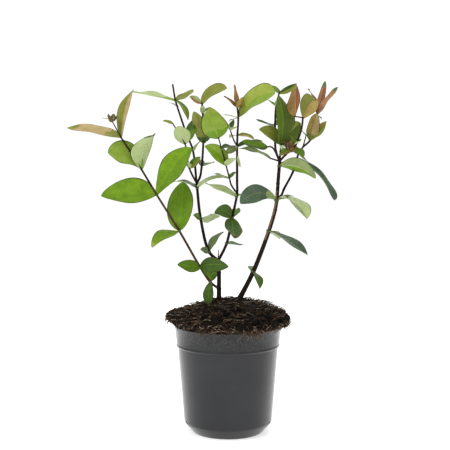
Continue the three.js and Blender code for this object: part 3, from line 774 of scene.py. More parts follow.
SPRAYS["spray_right_front"] = dict(
    start=("stem_right", 6), thick=(2.7, 2.2),
    run=[(12, 40, -34), (12.5, 46, -36), (8, 40, -30), (23, 17, -28), (13, 5, -24)],
    leaves=[
        leaf(5, 51, 65, 27, 51, "gold", 0.46, 59, half="olive", widest=0.52),
        leaf(2, 17, -150, 40, 40, "scorch", 0.5, half="bronze", under="scorch"),
        leaf(2, 20, -38, -25, 20, "mid", 0.72, 50, base="gold"),
        leaf(2, 17, -150, -24, 30, "mid", 0.7, half="bronze"),
        leaf(2, 17, 70, 50, 30, "bronze", 0.5, under="scorch"),
    ],
    twigs=[dict(at=5, thick=(1.6, 1.4), run=[(11, -82, -20)],
                leaves=[leaf(1, 44, 88, 58, -59, "rose", 0.6, 10,
                             half="bronze", under="rose", tip="olive")])],
    buds=[dict(at=2, wide=11, tint="scorch")],
    seed=17, axils=[(1, 2), (3, 3)],
)
SPRAYS["spray_right_left"] = dict(
    start=("stem_right", 6), thick=(2.1, 1.7), run=[(20.5, -30, -20), (7.5, -85, -24)],
    leaves=[leaf(2, 37, -149, 10, 47, "mid", 0.42, -16, half="dark")],
    twigs=[dict(at=0, thick=(2.1, 1.7), run=[(14, -73, -22)],
                leaves=[leaf(1, 41, -163, 17, 23, "sage", 0.33, 30, half="grey", edge="dark")])],
)
SPRAYS["spray_right_side"] = dict(
    start=("bough_right_side", 5), thick=(2.5, 1.8), run=[(12.5, 46, 6), (32.5, 15, 6)],
    leaves=[
        leaf(1, 35, -50, 70, -83, "gold", 0.58, 12, half="peach", under="gold", base="olive"),
        leaf(1, 33, -34, 45, 70, "yellow", 0.36, -20, half="gold", widest=0.62),
        leaf(2, 41, 113, 54, -36, "bronze", 0.27, 60, under="bronze"),
        leaf(2, 43, 22, 75, 92, "rose", 0.25, 0, half="blush", under="rose", tip="grey"),
        leaf(2, 43, -26, 51, 42, "blush", 0.36, 7, under="peach", edge="rose", tip="grey"),
        leaf(2, 10, -49, -31, 0, "grey"),
    ],
    twigs=[dict(at=0, thick=(1.7, 1.3), run=[(16.5, 16, 18)],
                leaves=[leaf(1, 14, 160, 40), leaf(1, 13, -10, 45)])],
)
print("shoots", len(SPRAYS))

# %% [markdown]
# Lower down, the leaves sit straight on the woody stems in pairs. The two
# leaves of a pair clasp the stem from both sides, and a low ring joins them.

# %% Plan: the leaf pairs that clasp the woody stems
def clasping(limb, *leaves, below=0):
    """Plans the leaves that clasp a limb at their node, numbered upwards along the limb."""
    side = limb.split("_", 1)[1]
    number = 1 + sum(plan["on"] == limb for plan in PAIRS.values())
    PAIRS[f"leaves_{side}_{number}"] = dict(on=limb, node=leaves[0]["at"], below=below, leaves=leaves)


PAIRS = {}
clasping("bough_far_left", leaf(1, 31, -112, -78, -7, "dark", 0.46), leaf(1, 32, 80, 25))
clasping("bough_far_left",
         leaf(2, 35, -140, 10, 81, broad=0.42, droop=0),
         leaf(2, 42, -37, 5, 95, "dark", droop=36),
         leaf(2, 20, 9, -50, 85, broad=0.38, droop=60))
clasping("bough_far_left",
         leaf(3, 61, 79, 69, -16, "green", 0.58, 0, base="fresh"),
         leaf(3, 48, -131, -20, 5, "fresh", 0.56, 38, tip="yellow"))
clasping("bough_far_left",
         leaf(4, 66, 176, -1, 51, "fresh", 0.53, 29),
         leaf(4, 70, -17, 52, 78, "green", 0.42, 28, half="fresh", widest=0.56))
clasping("bough_middle_left",
         leaf(1, 30, 20, 52, 11, "grey", 0.52, 46),
         leaf(1, 16, -133, 16, 83, "grey", 0.5))
clasping("bough_middle_left",
         leaf(2, 38, 53, 1, -47, "sage", 0.36, -20, spot=(0.6, 0.2, 0.06)),
         leaf(2, 24, -110, 13, 85, broad=0.33, half="dark"))
clasping("bough_middle_left",
         leaf(3, 41, 150, 8, 0, "grey", 0.47, 37),
         leaf(3, 40, -25, 19, -11, "sage", 0.4, 43),
         below=5)
clasping("bough_middle_right", leaf(1, 31, 47, -6, 15, "dark", 0.48, -8))
clasping("bough_middle_right",
         leaf(2, 31, -133, 13, 92, "dark", 0.5, 90),
         leaf(2, 42, -87, -29, -22, "dark", 0.54, -20, edge="scorch", tip="scorch"),
         leaf(2, 30, 75, 20))
clasping("bough_middle_right",
         leaf(3, 44, -155, 23, -11, "sage", 0.56, 0, under="sage"),
         leaf(3, 24, 60, 5),
         below=4)
clasping("stem_right", leaf(1, 26, -66, -46, -25, "dark", 0.58, 85), leaf(1, 20, 100, 15))
clasping("stem_right", leaf(2, 57, -27, -28, 0, "blue", edge="pale"), leaf(2, 32, 60, -22))
clasping("stem_right",
         leaf(4, 49, -152, -3, 70, "blue", 0.44, 98, base="sage", edge="dark", widest=0.62),
         leaf(4, 56, -51, -20, -5, "sage", 0.54, 88, half="pale", base="dark", widest=0.6),
         leaf(4, 22, -12, 14, 20, "grey", 0.26, 50),
         below=4)
clasping("stem_right",
         leaf(6, 46, 2, -19, -36, "sage", 0.54, 66, under="sage", half="fresh", widest=0.42),
         leaf(6, 34, 48, 4, tint="grey"),
         below=6)
clasping("bough_right_side",
         leaf(4, 73, -28, -49, -1, "blue", 0.36, 25, widest=0.75),
         leaf(4, 40, 120, 15))
print("pairs", len(PAIRS))

# %% [markdown]
# The colours that have a place on the plant are plain: each tint is its own
# material, and every leaf is dealt one. What makes a leaf look alive lies on
# top of that colour: soft mottling, a bloom of paler green, fine cells that
# break up the shine, and now and then a brown fleck. One recipe takes two
# greens and gives all of that, so the tints stay a family.

# %% Leaf finishes
def leaf_finish(name, base, deep, shine=0.5):
    """A matt leaf skin: two near colours in a mottle, with cells, flecks and a soft sheen."""
    material, tree, shader = new_material(name)
    mottle = tree.group("mottle", Patch_Size=85.0, Contrast=0.2)
    grit = tree.group("grit", Grain_Size=2600.0, Speck_Size=330.0, Sparse=0.76)
    colour = tree.mix(mottle["Mask"], deep, base)
    bloom = tuple(min(1.0, value * 1.12 + 0.012) for value in base)
    colour = tree.mix(tree.ramp(mottle["Fine"], 0.52, 0.75), colour, bloom)
    colour = tree.tinted(colour, (0.11, 0.05, 0.025), grit["Specks"], 0.55)
    tree.join(colour, shader.inputs["Base Color"])
    rough = tree.span(mottle["Fine"], bottom=shine - 0.08, top=shine + 0.14)
    tree.join(rough, shader.inputs["Roughness"])
    set_inputs(shader, Specular_IOR_Level=0.13)
    add_bump(tree, shader, grit["Height"], 0.25, 0.00015)
    return material


LEAF_COLOURS = {
    "fresh": ((0.185, 0.325, 0.01), (0.1, 0.21, 0.007)),
    "lime": ((0.25, 0.36, 0.045), (0.17, 0.265, 0.025)),
    "mid": ((0.115, 0.215, 0.015), (0.075, 0.15, 0.01)),
    "green": ((0.145, 0.265, 0.014), (0.095, 0.19, 0.009)),
    "moss": ((0.1, 0.15, 0.02), (0.065, 0.105, 0.014)),
    "dark": ((0.065, 0.12, 0.018), (0.04, 0.083, 0.012)),
    "blue": ((0.09, 0.135, 0.085), (0.05, 0.085, 0.045)),
    "grey": ((0.15, 0.2, 0.09), (0.1, 0.14, 0.06)),
    "sage": ((0.31, 0.38, 0.16), (0.22, 0.28, 0.1)),
    "olive": ((0.24, 0.26, 0.045), (0.165, 0.19, 0.028)),
    "yellow": ((0.33, 0.4, 0.07), (0.24, 0.31, 0.04)),
    "gold": ((0.42, 0.31, 0.085), (0.29, 0.21, 0.05)),
    "bronze": ((0.3, 0.175, 0.055), (0.2, 0.11, 0.034)),
    "peach": ((0.5, 0.39, 0.18), (0.38, 0.28, 0.11)),
    "blush": ((0.45, 0.26, 0.14), (0.34, 0.17, 0.085)),
    "rose": ((0.3, 0.12, 0.058), (0.2, 0.075, 0.035)),
    "pale": ((0.45, 0.54, 0.25), (0.35, 0.43, 0.17)),
    "rib": ((0.21, 0.3, 0.06), (0.15, 0.22, 0.04)),
    "rib pale": ((0.5, 0.55, 0.33), (0.41, 0.46, 0.26)),
    "sepal": ((0.11, 0.085, 0.035), (0.06, 0.045, 0.018)),
    "margin": ((0.055, 0.06, 0.015), (0.03, 0.035, 0.01)),
    "scorch": ((0.12, 0.06, 0.026), (0.06, 0.03, 0.015)),
}
leaf_materials = [leaf_finish(f"leaf {name}", *pair) for name, pair in LEAF_COLOURS.items()]
leaf_numbers = {name: index for index, name in enumerate(LEAF_COLOURS)}
print("leaf finishes", list(leaf_numbers))

# %% [markdown]
# The bark is thin and smooth: nearly black on the old stems and reddish on the
# far left bough. A tan strip up the right stem's front left flank is a painted
# highlight where the key lamp falls. Fine lengthwise streaks, a dark mottle and
# pale corky dots keep it from looking like painted wire.

# %% Bark finishes
def bark_finish(name, dark, pale):
    """Thin bark: two browns in streaks, with pale corky dots."""
    material, tree, shader = new_material(name)
    streaks = tree.clouds(tree.stretched(tree.place(), (900, 900, 130)), 1.0, 4.0, 0.6)
    colour = tree.mix(tree.ramp(streaks, 0.25, 0.75), dark, pale)
    mottle = tree.group("mottle", Patch_Size=140.0, Contrast=0.18)
    colour = tree.tinted(colour, tuple(value * 0.62 for value in dark), mottle["Mask"], 0.5)
    grit = tree.group("grit", Grain_Size=2200.0, Speck_Size=900.0, Sparse=0.7)
    corky = tuple(min(1.0, value * 1.9 + 0.03) for value in pale)
    colour = tree.tinted(colour, corky, grit["Specks"], 0.6)
    tree.join(colour, shader.inputs["Base Color"])
    set_inputs(shader, Roughness=0.66, Specular_IOR_Level=0.14)
    add_bump(tree, shader, streaks, 0.4, 0.0003)
    return material


BARK_COLOURS = {
    "old": ((0.007, 0.0032, 0.0024), (0.02, 0.0095, 0.0065)),
    # A tan painted highlight for the lit flank of the right stem.
    "painted highlight": ((0.12, 0.065, 0.038), (0.26, 0.165, 0.1)),
    "shoot": ((0.014, 0.0075, 0.0045), (0.04, 0.022, 0.0125)),
    "red": ((0.045, 0.02, 0.011), (0.11, 0.058, 0.032)),
    "green": ((0.06, 0.07, 0.024), (0.12, 0.135, 0.045)),
}
bark_materials = [bark_finish(f"bark {name}", *pair) for name, pair in BARK_COLOURS.items()]
bark_numbers = {name: index for index, name in enumerate(BARK_COLOURS)}
print("bark finishes", list(bark_numbers))

# %% [markdown]
# Growing the plant is now short: the limbs first, then each shoot with its
# leaves, side twigs and buds, then the clasping pairs. Every group of shoots
# goes into a pile of leaves, a pile of twigs and, where it has any, a pile of
# buds. Each pile becomes one piece that stands in for the solids it covers.

# %% Grow the woody stems
def ridden(piece, names):
    """Ties a piece to the root body, so that it moves with the plant, and hides the named solids that it
    stands in for.
    """
    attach(piece, "root")
    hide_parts(*names)


for index, (name, limb) in enumerate(LIMBS.items()):
    wood = Pile()
    bark = bark_numbers["red" if name == "bough_far_left" else "old"]
    # The right stem's tan strip is a painted highlight on the flank that faces the key lamp.
    flank = (bark_numbers["painted highlight"], *limb["painted_highlight"]) if "painted_highlight" in limb else None
    add_stem(wood, bark, nodes_of[name], *limb["thick"], sides=20, flare=limb.get("flare", 0), seed=index,
             flank=flank)
    if "stub" in limb:
        tall, *stub_thick = limb["stub"]
        foot = nodes_of[name][-1]
        stub_nodes = [foot, foot + np.array([0, 0, tall / 2]) * MM, foot + np.array([0.4, 0, tall]) * MM]
        add_stem(wood, bark, stub_nodes, *stub_thick, sides=8, seed=index)
    ridden(wood.finished(f"wood_{name}", bark_materials), [name])
print("woody stems", len(LIMBS))


# %% Growing rule: axil leaves and buds
SEPALS = 5
BUD_CORE = 0.66
BUD_TALL = 1.12
BUD_SIDES = 30
BUD_ROWS = 14
BUD_SKIN_SHARE = 0.55
SEAM_DEPTH = 0.06


def axil_leaves(seed, at, count):
    """Small leaves in the axils at a node, evenly round the stem."""
    for index in range(count):
        heading = 360 * (index + scatter(seed, index)) / count
        yield leaf(at, 11 + 6 * scatter(seed, index + 10), heading, 25 + 40 * scatter(seed, index + 20),
                   droop=25, wave=0.5)


def sepals(bud, seed):
    """The small leaves that hug a bud, bent inwards."""
    tint = bud.get("tint", "sepal")
    for index in range(SEPALS):
        heading = (index + 0.5 * scatter(seed, index)) * 360 / SEPALS
        yield leaf(bud["at"], bud["wide"] * (1 + 0.25 * scatter(seed, index + 5)), heading, 56, 0, "olive",
                   0.56, -70 - 20 * scatter(seed, index + 9), under=tint, edge=tint, curl=0.2)


def add_bud(pile, centre, way, wide):
    """The round heart of a bud, with five low seams."""
    half = wide * MM / 2
    turns = turns_of(BUD_SIDES)
    rings = []
    for row in range(BUD_ROWS + 1):
        turn = math.pi * row / BUD_ROWS
        high = -math.cos(turn) * BUD_TALL
        seam = 1 - SEAM_DEPTH * np.abs(np.cos(SEPALS / 2 * (turns + 0.5 * high))) ** 8
        girth = math.sin(turn) ** 0.9 * (1 - 0.16 * high) * seam
        rings.append(ring_round(centre + half * way * high, way, half * girth, turns))
    faces = tube_faces(len(rings), BUD_SIDES)
    kinds = [int(index >= len(faces) * BUD_SKIN_SHARE) for index in range(len(faces))]
    pile.add(np.concatenate(rings), faces, kinds)


# %% Growing rule: shoots and clasping pairs
ROOT_SINK_MM = 1.5
SEPAL_SINK = 0.36
COLLAR_SIDES = 20
# The ring that joins a pair: heights along the stem, and how far each stands out from the bark.
COLLAR_RING_MM = ((-1.2, 0.1), (-0.8, 0.5), (-0.2, 0.75), (0.5, 0.7), (1.0, 0.4), (1.3, 0.05))


def way_at(nodes, node):
    """The way that a stem runs as it comes to a node."""
    return unit(nodes[node] - nodes[node - 1])


def add_shoot(leaves, twigs, buds, start, plan, seed):
    """A shoot with all that it bears, each kind added to its own pile."""
    nodes = nodes_along(start, plan["run"])
    add_stem(twigs, bark_numbers["shoot"], nodes, *plan["thick"], sides=12, seed=seed)
    borne = list(plan["leaves"])
    for at, count in plan.get("axils", []):
        borne += axil_leaves(plan["seed"], at, count)
    for index, each in enumerate(borne):
        foot = nodes[each["at"]] - way_at(nodes, each["at"]) * ROOT_SINK_MM * MM
        add_leaf(leaves, leaf_numbers, foot, each, seed * 31 + index)
    for bud in plan.get("buds", []):
        way, wide = way_at(nodes, bud["at"]), bud["wide"]
        add_bud(buds, nodes[bud["at"]], way, BUD_CORE * wide)
        foot = nodes[bud["at"]] - way * SEPAL_SINK * wide * MM
        for index, sepal in enumerate(sepals(bud, seed)):
            add_leaf(leaves, leaf_numbers, foot, sepal, seed + index)
    for index, twig in enumerate(plan.get("twigs", [])):
        add_shoot(leaves, twigs, buds, nodes[twig["at"]], twig, seed + 7 * index + 3)


def add_pair(leaves, twigs, plan, seed):
    """The leaves that clasp a stem at a node, and the ring that joins them."""
    nodes, limb = nodes_of[plan["on"]], LIMBS[plan["on"]]
    way = way_at(nodes, plan["node"])
    seat = nodes[plan["node"]] - way * plan["below"] * MM
    foot, tip = limb["thick"]
    thick = foot + (tip - foot) * plan["node"] / len(limb["run"])
    rings = [ring_round(seat + way * high * MM, way, (thick / 2 + swell) * MM, turns_of(COLLAR_SIDES))
             for high, swell in COLLAR_RING_MM]
    twigs.add(np.concatenate(rings), tube_faces(len(rings), COLLAR_SIDES), bark_numbers["green"])
    for index, each in enumerate(plan["leaves"]):
        add_leaf(leaves, leaf_numbers, seat, each, seed * 31 + index)


# %% [markdown]
# The tutsan's buds are round and olive brown, redder towards the tip, with a
# waxy shine that the leaves don't have.

# %% Bud finishes
bud_materials = [
    leaf_finish("bud skin", (0.15, 0.12, 0.04), (0.1, 0.075, 0.025), shine=0.36),
    leaf_finish("bud tip", (0.2, 0.1, 0.045), (0.13, 0.06, 0.03), shine=0.34),
]
print("bud finishes", [material.name for material in bud_materials])

# %% Grow the foliage, one group of shoots at a time
def pairs_on(side):
    """The clasping pairs on one side of the plant, in their order up its limbs."""
    return [name for name in PAIRS if name.startswith(f"leaves_{side}")]


FOLIAGE = {
    "far_left": ["spray_far_left", *pairs_on("far_left")],
    "middle_left": ["spray_middle_left_low", "spray_middle_left_tall", "spray_middle_left_right",
                    *pairs_on("middle_left")],
    "middle_right": ["spray_middle_front", "spray_middle_top", *pairs_on("middle_right")],
    "right": ["spray_right_tall", "spray_right_middle", "spray_right_left", *pairs_on("right")],
    "young": ["spray_right_front", "spray_right_side"],
}
FIRST_SEED = 41
seed = FIRST_SEED
for group, names in FOLIAGE.items():
    leaves, twigs, buds = Pile(), Pile(), Pile()
    for name in names:
        if name in SPRAYS:
            limb, node = SPRAYS[name]["start"]
            add_shoot(leaves, twigs, buds, nodes_of[limb][node], SPRAYS[name], seed)
        else:
            add_pair(leaves, twigs, PAIRS[name], seed)
        seed += 1
    ridden(leaves.finished(f"foliage_{group}", leaf_materials), names)
    ridden(twigs.finished(f"twigs_{group}", bark_materials), names)
    if buds.count:
        bearing = [name for name in names if name in SPRAYS]
        ridden(buds.finished(f"buds_{group}", bud_materials), bearing)
    print("foliage", group, len(leaves.faces), "leaf faces", len(twigs.faces), "twig faces")

# %% [markdown]
# The pot is the usual thin moulded nursery pot: a flat foot, a chamfered heel
# with the drain holes, a wall that widens upwards, a small step and a deeper
# collar that ends in a rounded lip. A fine lathe gives it true curves, and a
# Boolean cuts the holes.

# %% Pot
POT_SIDES = 192
DRAIN_TURNS = (20, 160, 200, 340)
DRAIN_HOLE_MM = 4.4
DRAIN_REACH_MM = 51
DRAIN_HEIGHT_MM = 10.5
DRILL_LENGTH_MM = 12
HEEL_WIDE_MM = 10.5
HEEL_TALL_MM = 13
SHARP_ANGLE = math.radians(50)
POT_PROFILE_MM = [
    (0, 0.6), (36, 0.6), (37.2, 0), (41, 0), (42.2, 0.5), (43.2, 1.5), (51.6, 11.7), (52.4, 13), (52.7, 14.5),
    (60.1, 102.1), (60.3, 103.1), (60.8, 103.5), (61.9, 104), (62.15, 104.7), (62.05, 105.4), (61.65, 106.3),
    (61.65, 107.3), (63.9, 126), (64.3, 126.6), (64.65, 127.3), (64.7, 128), (64.5, 128.6), (64, 129),
    (63.2, 128.9), (62.7, 128.3), (62.4, 127), (59.2, 105.5), (58.1, 103.9), (50.2, 14.3), (40.8, 2.2),
    (0, 2.2),
]


def lathed(name, profile_mm, sides):
    """A body turned round the vertical axis from a profile in millimetres, with a point at each end."""
    turns = turns_of(sides)
    points = [(0, 0, profile_mm[0][1] * MM)]
    for radius, high in profile_mm[1:-1]:
        points += [(radius * MM * math.cos(t), radius * MM * math.sin(t), high * MM) for t in turns]
    points.append((0, 0, profile_mm[-1][1] * MM))
    faces = tube_faces(len(profile_mm) - 2, sides, first=1)
    last = 1 + (len(profile_mm) - 3) * sides
    for side in range(sides):
        beside = (side + 1) % sides
        faces += [(0, 1 + beside, 1 + side), (last + side, last + beside, len(points) - 1)]
    mesh = bpy.data.meshes.new(name)
    mesh.from_pydata(points, [], faces)
    return linked(name, mesh)


pot = lathed("pot_fine", POT_PROFILE_MM, POT_SIDES)
square_to_heel = Matrix.Rotation(math.pi / 2 + math.atan2(HEEL_WIDE_MM, HEEL_TALL_MM), 4, "Y")
out_to_heel = Matrix.Translation((DRAIN_REACH_MM * MM, 0, DRAIN_HEIGHT_MM * MM))
drill_mesh = bpy.data.meshes.new("drill")
drills = bmesh.new()
for turn in DRAIN_TURNS:
    bmesh.ops.create_cone(drills, cap_ends=True, segments=40, radius1=DRAIN_HOLE_MM * MM,
                          radius2=DRAIN_HOLE_MM * MM, depth=DRILL_LENGTH_MM * MM,
                          matrix=Matrix.Rotation(math.radians(turn), 4, "Z") @ out_to_heel @ square_to_heel)
drills.to_mesh(drill_mesh)
drills.free()
drill = linked("drill", drill_mesh)
cut = pot.modifiers.new("drain holes", "BOOLEAN")
cut.operation = "DIFFERENCE"
cut.solver = "EXACT"
cut.object = drill
bpy.context.view_layer.update()
shape = bpy.context.evaluated_depsgraph_get()
pot_mesh = bpy.data.meshes.new_from_object(pot.evaluated_get(shape))
pot.modifiers.clear()
pot.data = pot_mesh
bpy.data.objects.remove(drill)
pot_mesh.polygons.foreach_set("use_smooth", [True] * len(pot_mesh.polygons))
pot_mesh.set_sharp_from_angle(angle=SHARP_ANGLE)
print("pot faces", len(pot_mesh.polygons))


# %% Pot finish
COLLAR_LOW_MM = 100
COLLAR_HIGH_MM = 118


def pot_finish():
    """Satin dark grey plastic, with a low sheen, fine scuffs and dust of compost."""
    material, tree, shader = new_material("satin dark plastic")
    mottle = tree.group("mottle", Patch_Size=22.0, Contrast=0.3)
    grit = tree.group("grit", Grain_Size=1800.0, Speck_Size=260.0, Sparse=0.73)
    colour = tree.mix(mottle["Mask"], (0.018, 0.0184, 0.02), (0.027, 0.0275, 0.0295))
    place = tree.place()
    scuffs = tree.clouds(tree.stretched(place, (40, 40, 900)), 1.0, 6.0, 0.7)
    colour = tree.tinted(colour, (0.05, 0.05, 0.052), tree.ramp(scuffs, 0.62, 0.72), 0.35)
    colour = tree.tinted(colour, (0.07, 0.055, 0.042), grit["Specks"], 0.5)
    height = tree.node("ShaderNodeSeparateXYZ")
    tree.join(place, height.inputs["Vector"])
    on_collar = tree.ramp(height.outputs["Z"], COLLAR_LOW_MM * MM, COLLAR_HIGH_MM * MM)
    dust = tree.clouds(place, 420.0, 3.0, 0.6)
    pale_dust = tree.maths("MULTIPLY", tree.ramp(dust, 0.52, 0.66), on_collar)
    dark_dust = tree.maths("MULTIPLY", tree.ramp(dust, 0.46, 0.34), on_collar)
    colour = tree.tinted(colour, (0.06, 0.056, 0.05), pale_dust, 0.75)
    colour = tree.tinted(colour, (0.004, 0.0036, 0.003), dark_dust, 0.8)
    tree.join(colour, shader.inputs["Base Color"])
    tree.join(tree.span(mottle["Fine"], bottom=0.36, top=0.54), shader.inputs["Roughness"])
    grazing = tree.node("ShaderNodeLayerWeight", Blend=0.5)
    tree.join(tree.ramp(grazing.outputs["Facing"], 0.2, 1.1), shader.inputs["Coat Weight"])
    set_inputs(shader, Specular_IOR_Level=0.3, Coat_Roughness=0.22, Coat_IOR=1.6)
    add_bump(tree, shader, grit["Height"], 0.12, 0.0001)
    return material


pot_mesh.materials.clear()
pot_mesh.materials.append(pot_finish())
ridden(pot, ["pot"])
print("pot finish", pot_mesh.materials[0].name)

# %% [markdown]
# The compost stands in a thick heap over the rim, held together by the roots
# inside. Its skin is lumpy at every scale. Chips of bark lie over it, and long
# coir fibres stick out and hang over the lip.

# %% Compost
HEAP_SIDES = 240
HEAP_ROWS = 60
HEAP_TOP_RADIUS_MM = 70.5
LOOSE_FROM_MM = 129.5
LOOSENESS = 0.85
LUMPS_MM = ((16, 3.2), (7, 3.0), (2.6, 1.4))
LUMPS_OUT, LUMPS_UP = 0.6, 0.8
HEAP_PROFILE_MM = [
    (20, 115), (61, 115), (61.8, 125), (62.1, 129), (64, 129.8), (66.5, 130.2), (69.5, 131), (71.6, 132.2),
    (73, 134), (73.5, 136), (73, 138.2), (71.6, 139.8),
]


def around(turn, out):
    """The place at this turn round the pot and this far from its middle."""
    return out * math.cos(turn), out * math.sin(turn)


def heap_point(radius, high, turn, loose):
    """A place on the heap's skin, in metres, roughened by as much as it is loose."""
    place = Vector((*around(turn, radius), high)) * MM
    bulge = loose * sum(tall * noise.noise(place / (size * MM)) for size, tall in LUMPS_MM)
    out = Vector((*around(turn, 1), 0))
    return place + (out * LUMPS_OUT + Vector((0, 0, LUMPS_UP))) * bulge * MM


heap_points = []
for radius, high in HEAP_PROFILE_MM:
    loose = high > LOOSE_FROM_MM
    for turn in turns_of(HEAP_SIDES):
        level = high - HEAP_TILT * around(turn, radius)[0] * loose
        heap_points.append(heap_point(radius, level, turn, LOOSENESS * loose))
for row in range(1, HEAP_ROWS):
    radius = HEAP_TOP_RADIUS_MM * (1 - row / HEAP_ROWS)
    for turn in turns_of(HEAP_SIDES):
        heap_points.append(heap_point(radius, heap_height(*around(turn, radius)), turn, LOOSENESS))
heap_faces = tube_faces(len(heap_points) // HEAP_SIDES, HEAP_SIDES)
heap_faces.append(tuple(range(HEAP_SIDES - 1, -1, -1)))
heap_faces.append(tuple(range(len(heap_points) - HEAP_SIDES, len(heap_points))))
print("heap faces", len(heap_faces))


# %% Compost finishes
def compost_finish(name, dark, pale):
    """Crumbly peat: brown crumbs with painted shade in the gaps between them, and rusty flecks."""
    material, tree, shader = new_material(name)
    crumbs = tree.node("ShaderNodeTexVoronoi", Scale=420.0)
    tree.join(tree.place(), crumbs.inputs["Vector"])
    mottle = tree.group("mottle", Patch_Size=130.0, Contrast=0.16)
    colour = tree.mix(mottle["Mask"], dark, pale)
    colour = tree.tinted(colour, (0.13, 0.06, 0.028), tree.ramp(mottle["Fine"], 0.55, 0.7), 0.35)
    # Painted shade: the gaps between the crumbs are darkened almost to black.
    crumb_gap_shade = tree.ramp(crumbs.outputs["Distance"], 0.15, 0.75)
    colour = tree.tinted(colour, (0.002, 0.0015, 0.001), crumb_gap_shade, 0.7)
    tree.join(colour, shader.inputs["Base Color"])
    set_inputs(shader, Roughness=0.8, Specular_IOR_Level=0.1)
    grit = tree.group("grit", Grain_Size=900.0, Speck_Size=500.0, Sparse=0.7)
    add_bump(tree, shader, grit["Height"], 0.7, 0.0008)
    return material


COMPOST_COLOURS = {
    "peat": ((0.002, 0.0013, 0.0009), (0.009, 0.0055, 0.0035)),
    "bark chip": ((0.028, 0.0175, 0.011), (0.085, 0.053, 0.033)),
    "dark chip": ((0.0015, 0.0012, 0.001), (0.005, 0.0036, 0.0027)),
    "coir": ((0.12, 0.085, 0.052), (0.27, 0.2, 0.13)),
    "rusty fibre": ((0.06, 0.029, 0.017), (0.17, 0.088, 0.052)),
    "moss": ((0.012, 0.014, 0.005), (0.05, 0.056, 0.018)),
    "straw": ((0.22, 0.16, 0.1), (0.46, 0.37, 0.25)),
}
PEAT, BARK_CHIP, DARK_CHIP, COIR, RUSTY, MOSS, STRAW = range(len(COMPOST_COLOURS))
compost_materials = [compost_finish(f"compost {name}", *pair) for name, pair in COMPOST_COLOURS.items()]
print("compost finishes", [material.name for material in compost_materials])


# %% Growing rule: chips and fibres
CHIP_OUTLINE = ((-1, -0.7), (0, -1), (1, -0.5), (0.9, 0.6), (0.1, 1), (-0.9, 0.8))
FIBRE_SIDES = 5


def add_chip(pile, number, place_mm, seed, size):
    """A flat splinter of bark with uneven corners, its upper side smaller than its lower one."""
    tips = [0.9 * (scatter(seed, index) - 0.5) for index in (2, 3)]
    turn = Matrix.Rotation(6.28 * scatter(seed, 1), 3, "Z")
    turn = turn @ Matrix.Rotation(tips[0], 3, "X") @ Matrix.Rotation(tips[1], 3, "Y")
    long = size * (0.7 + 0.9 * scatter(seed, 4)) / 2
    wide = size * (0.3 + 0.5 * scatter(seed, 5)) / 2
    deep = size * (0.14 + 0.16 * scatter(seed, 6)) / 2
    corners = len(CHIP_OUTLINE)
    points = []
    for level, (high, shrink) in enumerate(((-1, 1.0), (1, 0.85))):
        for index, (x, y) in enumerate(CHIP_OUTLINE):
            jitter = shrink * (0.75 + 0.4 * scatter(seed, index + 7 + corners * level))
            corner = Vector((x * long * jitter, y * wide * jitter, high * deep))
            points.append((Vector(place_mm) + turn @ corner) * MM)
    faces = [tuple(range(corners - 1, -1, -1)), tuple(range(corners, 2 * corners))]
    pile.add(points, faces + tube_faces(2, corners), number)


def add_fibre(pile, number, path_mm, thick):
    """A fine fibre along a path of points, thinner towards its end."""
    path = np.array(path_mm) * MM
    slim = thick * MM / 2 * (1 - 0.7 * np.arange(len(path)) / len(path))
    rings = [ring_round(point, unit(way), radius, turns_of(FIBRE_SIDES), aside=(0.3, 1, 0.2))
             for point, way, radius in zip(path, np.gradient(path, axis=0), slim)]
    points = np.concatenate(rings)
    ends = [tuple(range(FIBRE_SIDES - 1, -1, -1)), tuple(range(len(points) - FIBRE_SIDES, len(points)))]
    pile.add(points, tube_faces(len(path), FIBRE_SIDES) + ends, number)


# %% Chips over the heap and round its edge
TOP_CHIPS = 1400
TOP_RADIUS_MM = 71.5
TOP_LIFT_MM = 0.5
EDGE_CHIPS = 420
EDGE_FOOT_MM, EDGE_TALL_MM = 132, 8.5
EDGE_RADIUS_MM, EDGE_WIDEST_MM, EDGE_ROUNDING = 72.4, 136, 0.06
MOSSY_LEFT_OF_MM = -12
MOSSY_SHARE = 0.45
PALE_SHARE_TOP, PALE_SHARE_EDGE = 0.42, 0.4
SMALLEST_CHIP_MM = 1.8

heap = Pile()
heap.add(heap_points, heap_faces, PEAT)
for index in range(TOP_CHIPS):
    x, y = around(2 * math.pi * scatter(502, index), TOP_RADIUS_MM * math.sqrt(scatter(501, index)))
    mossy = x < MOSSY_LEFT_OF_MM and scatter(505, index) < MOSSY_SHARE
    kind = MOSS if mossy else BARK_CHIP if scatter(503, index) < PALE_SHARE_TOP else DARK_CHIP
    size = SMALLEST_CHIP_MM + 4.2 * scatter(504, index) ** 2
    add_chip(heap, kind, (x, y, heap_height(x, y) + TOP_LIFT_MM), index + 600, size)
for index in range(EDGE_CHIPS):
    high = EDGE_FOOT_MM + EDGE_TALL_MM * scatter(512, index)
    out = EDGE_RADIUS_MM - EDGE_ROUNDING * (high - EDGE_WIDEST_MM) ** 2
    x, y = around(2 * math.pi * scatter(511, index), out)
    kind = BARK_CHIP if scatter(513, index) < PALE_SHARE_EDGE else DARK_CHIP
    size = SMALLEST_CHIP_MM + 3.4 * scatter(514, index) ** 2
    add_chip(heap, kind, (x, y, high - HEAP_TILT * x), index + 1600, size)
print("chips", TOP_CHIPS + EDGE_CHIPS)

# %% Loose fibres over the heap and at its edge
FIBRES = 900
FIBRE_STEPS = 8
LOOSE_RADIUS_MM = 75
ON_EDGE_SHARE = 0.4
EDGE_SAG_MM, TOP_ARCH_MM = 3.2, 1.1
STOUT_MM, SLIM_MM = 0.9, 0.35

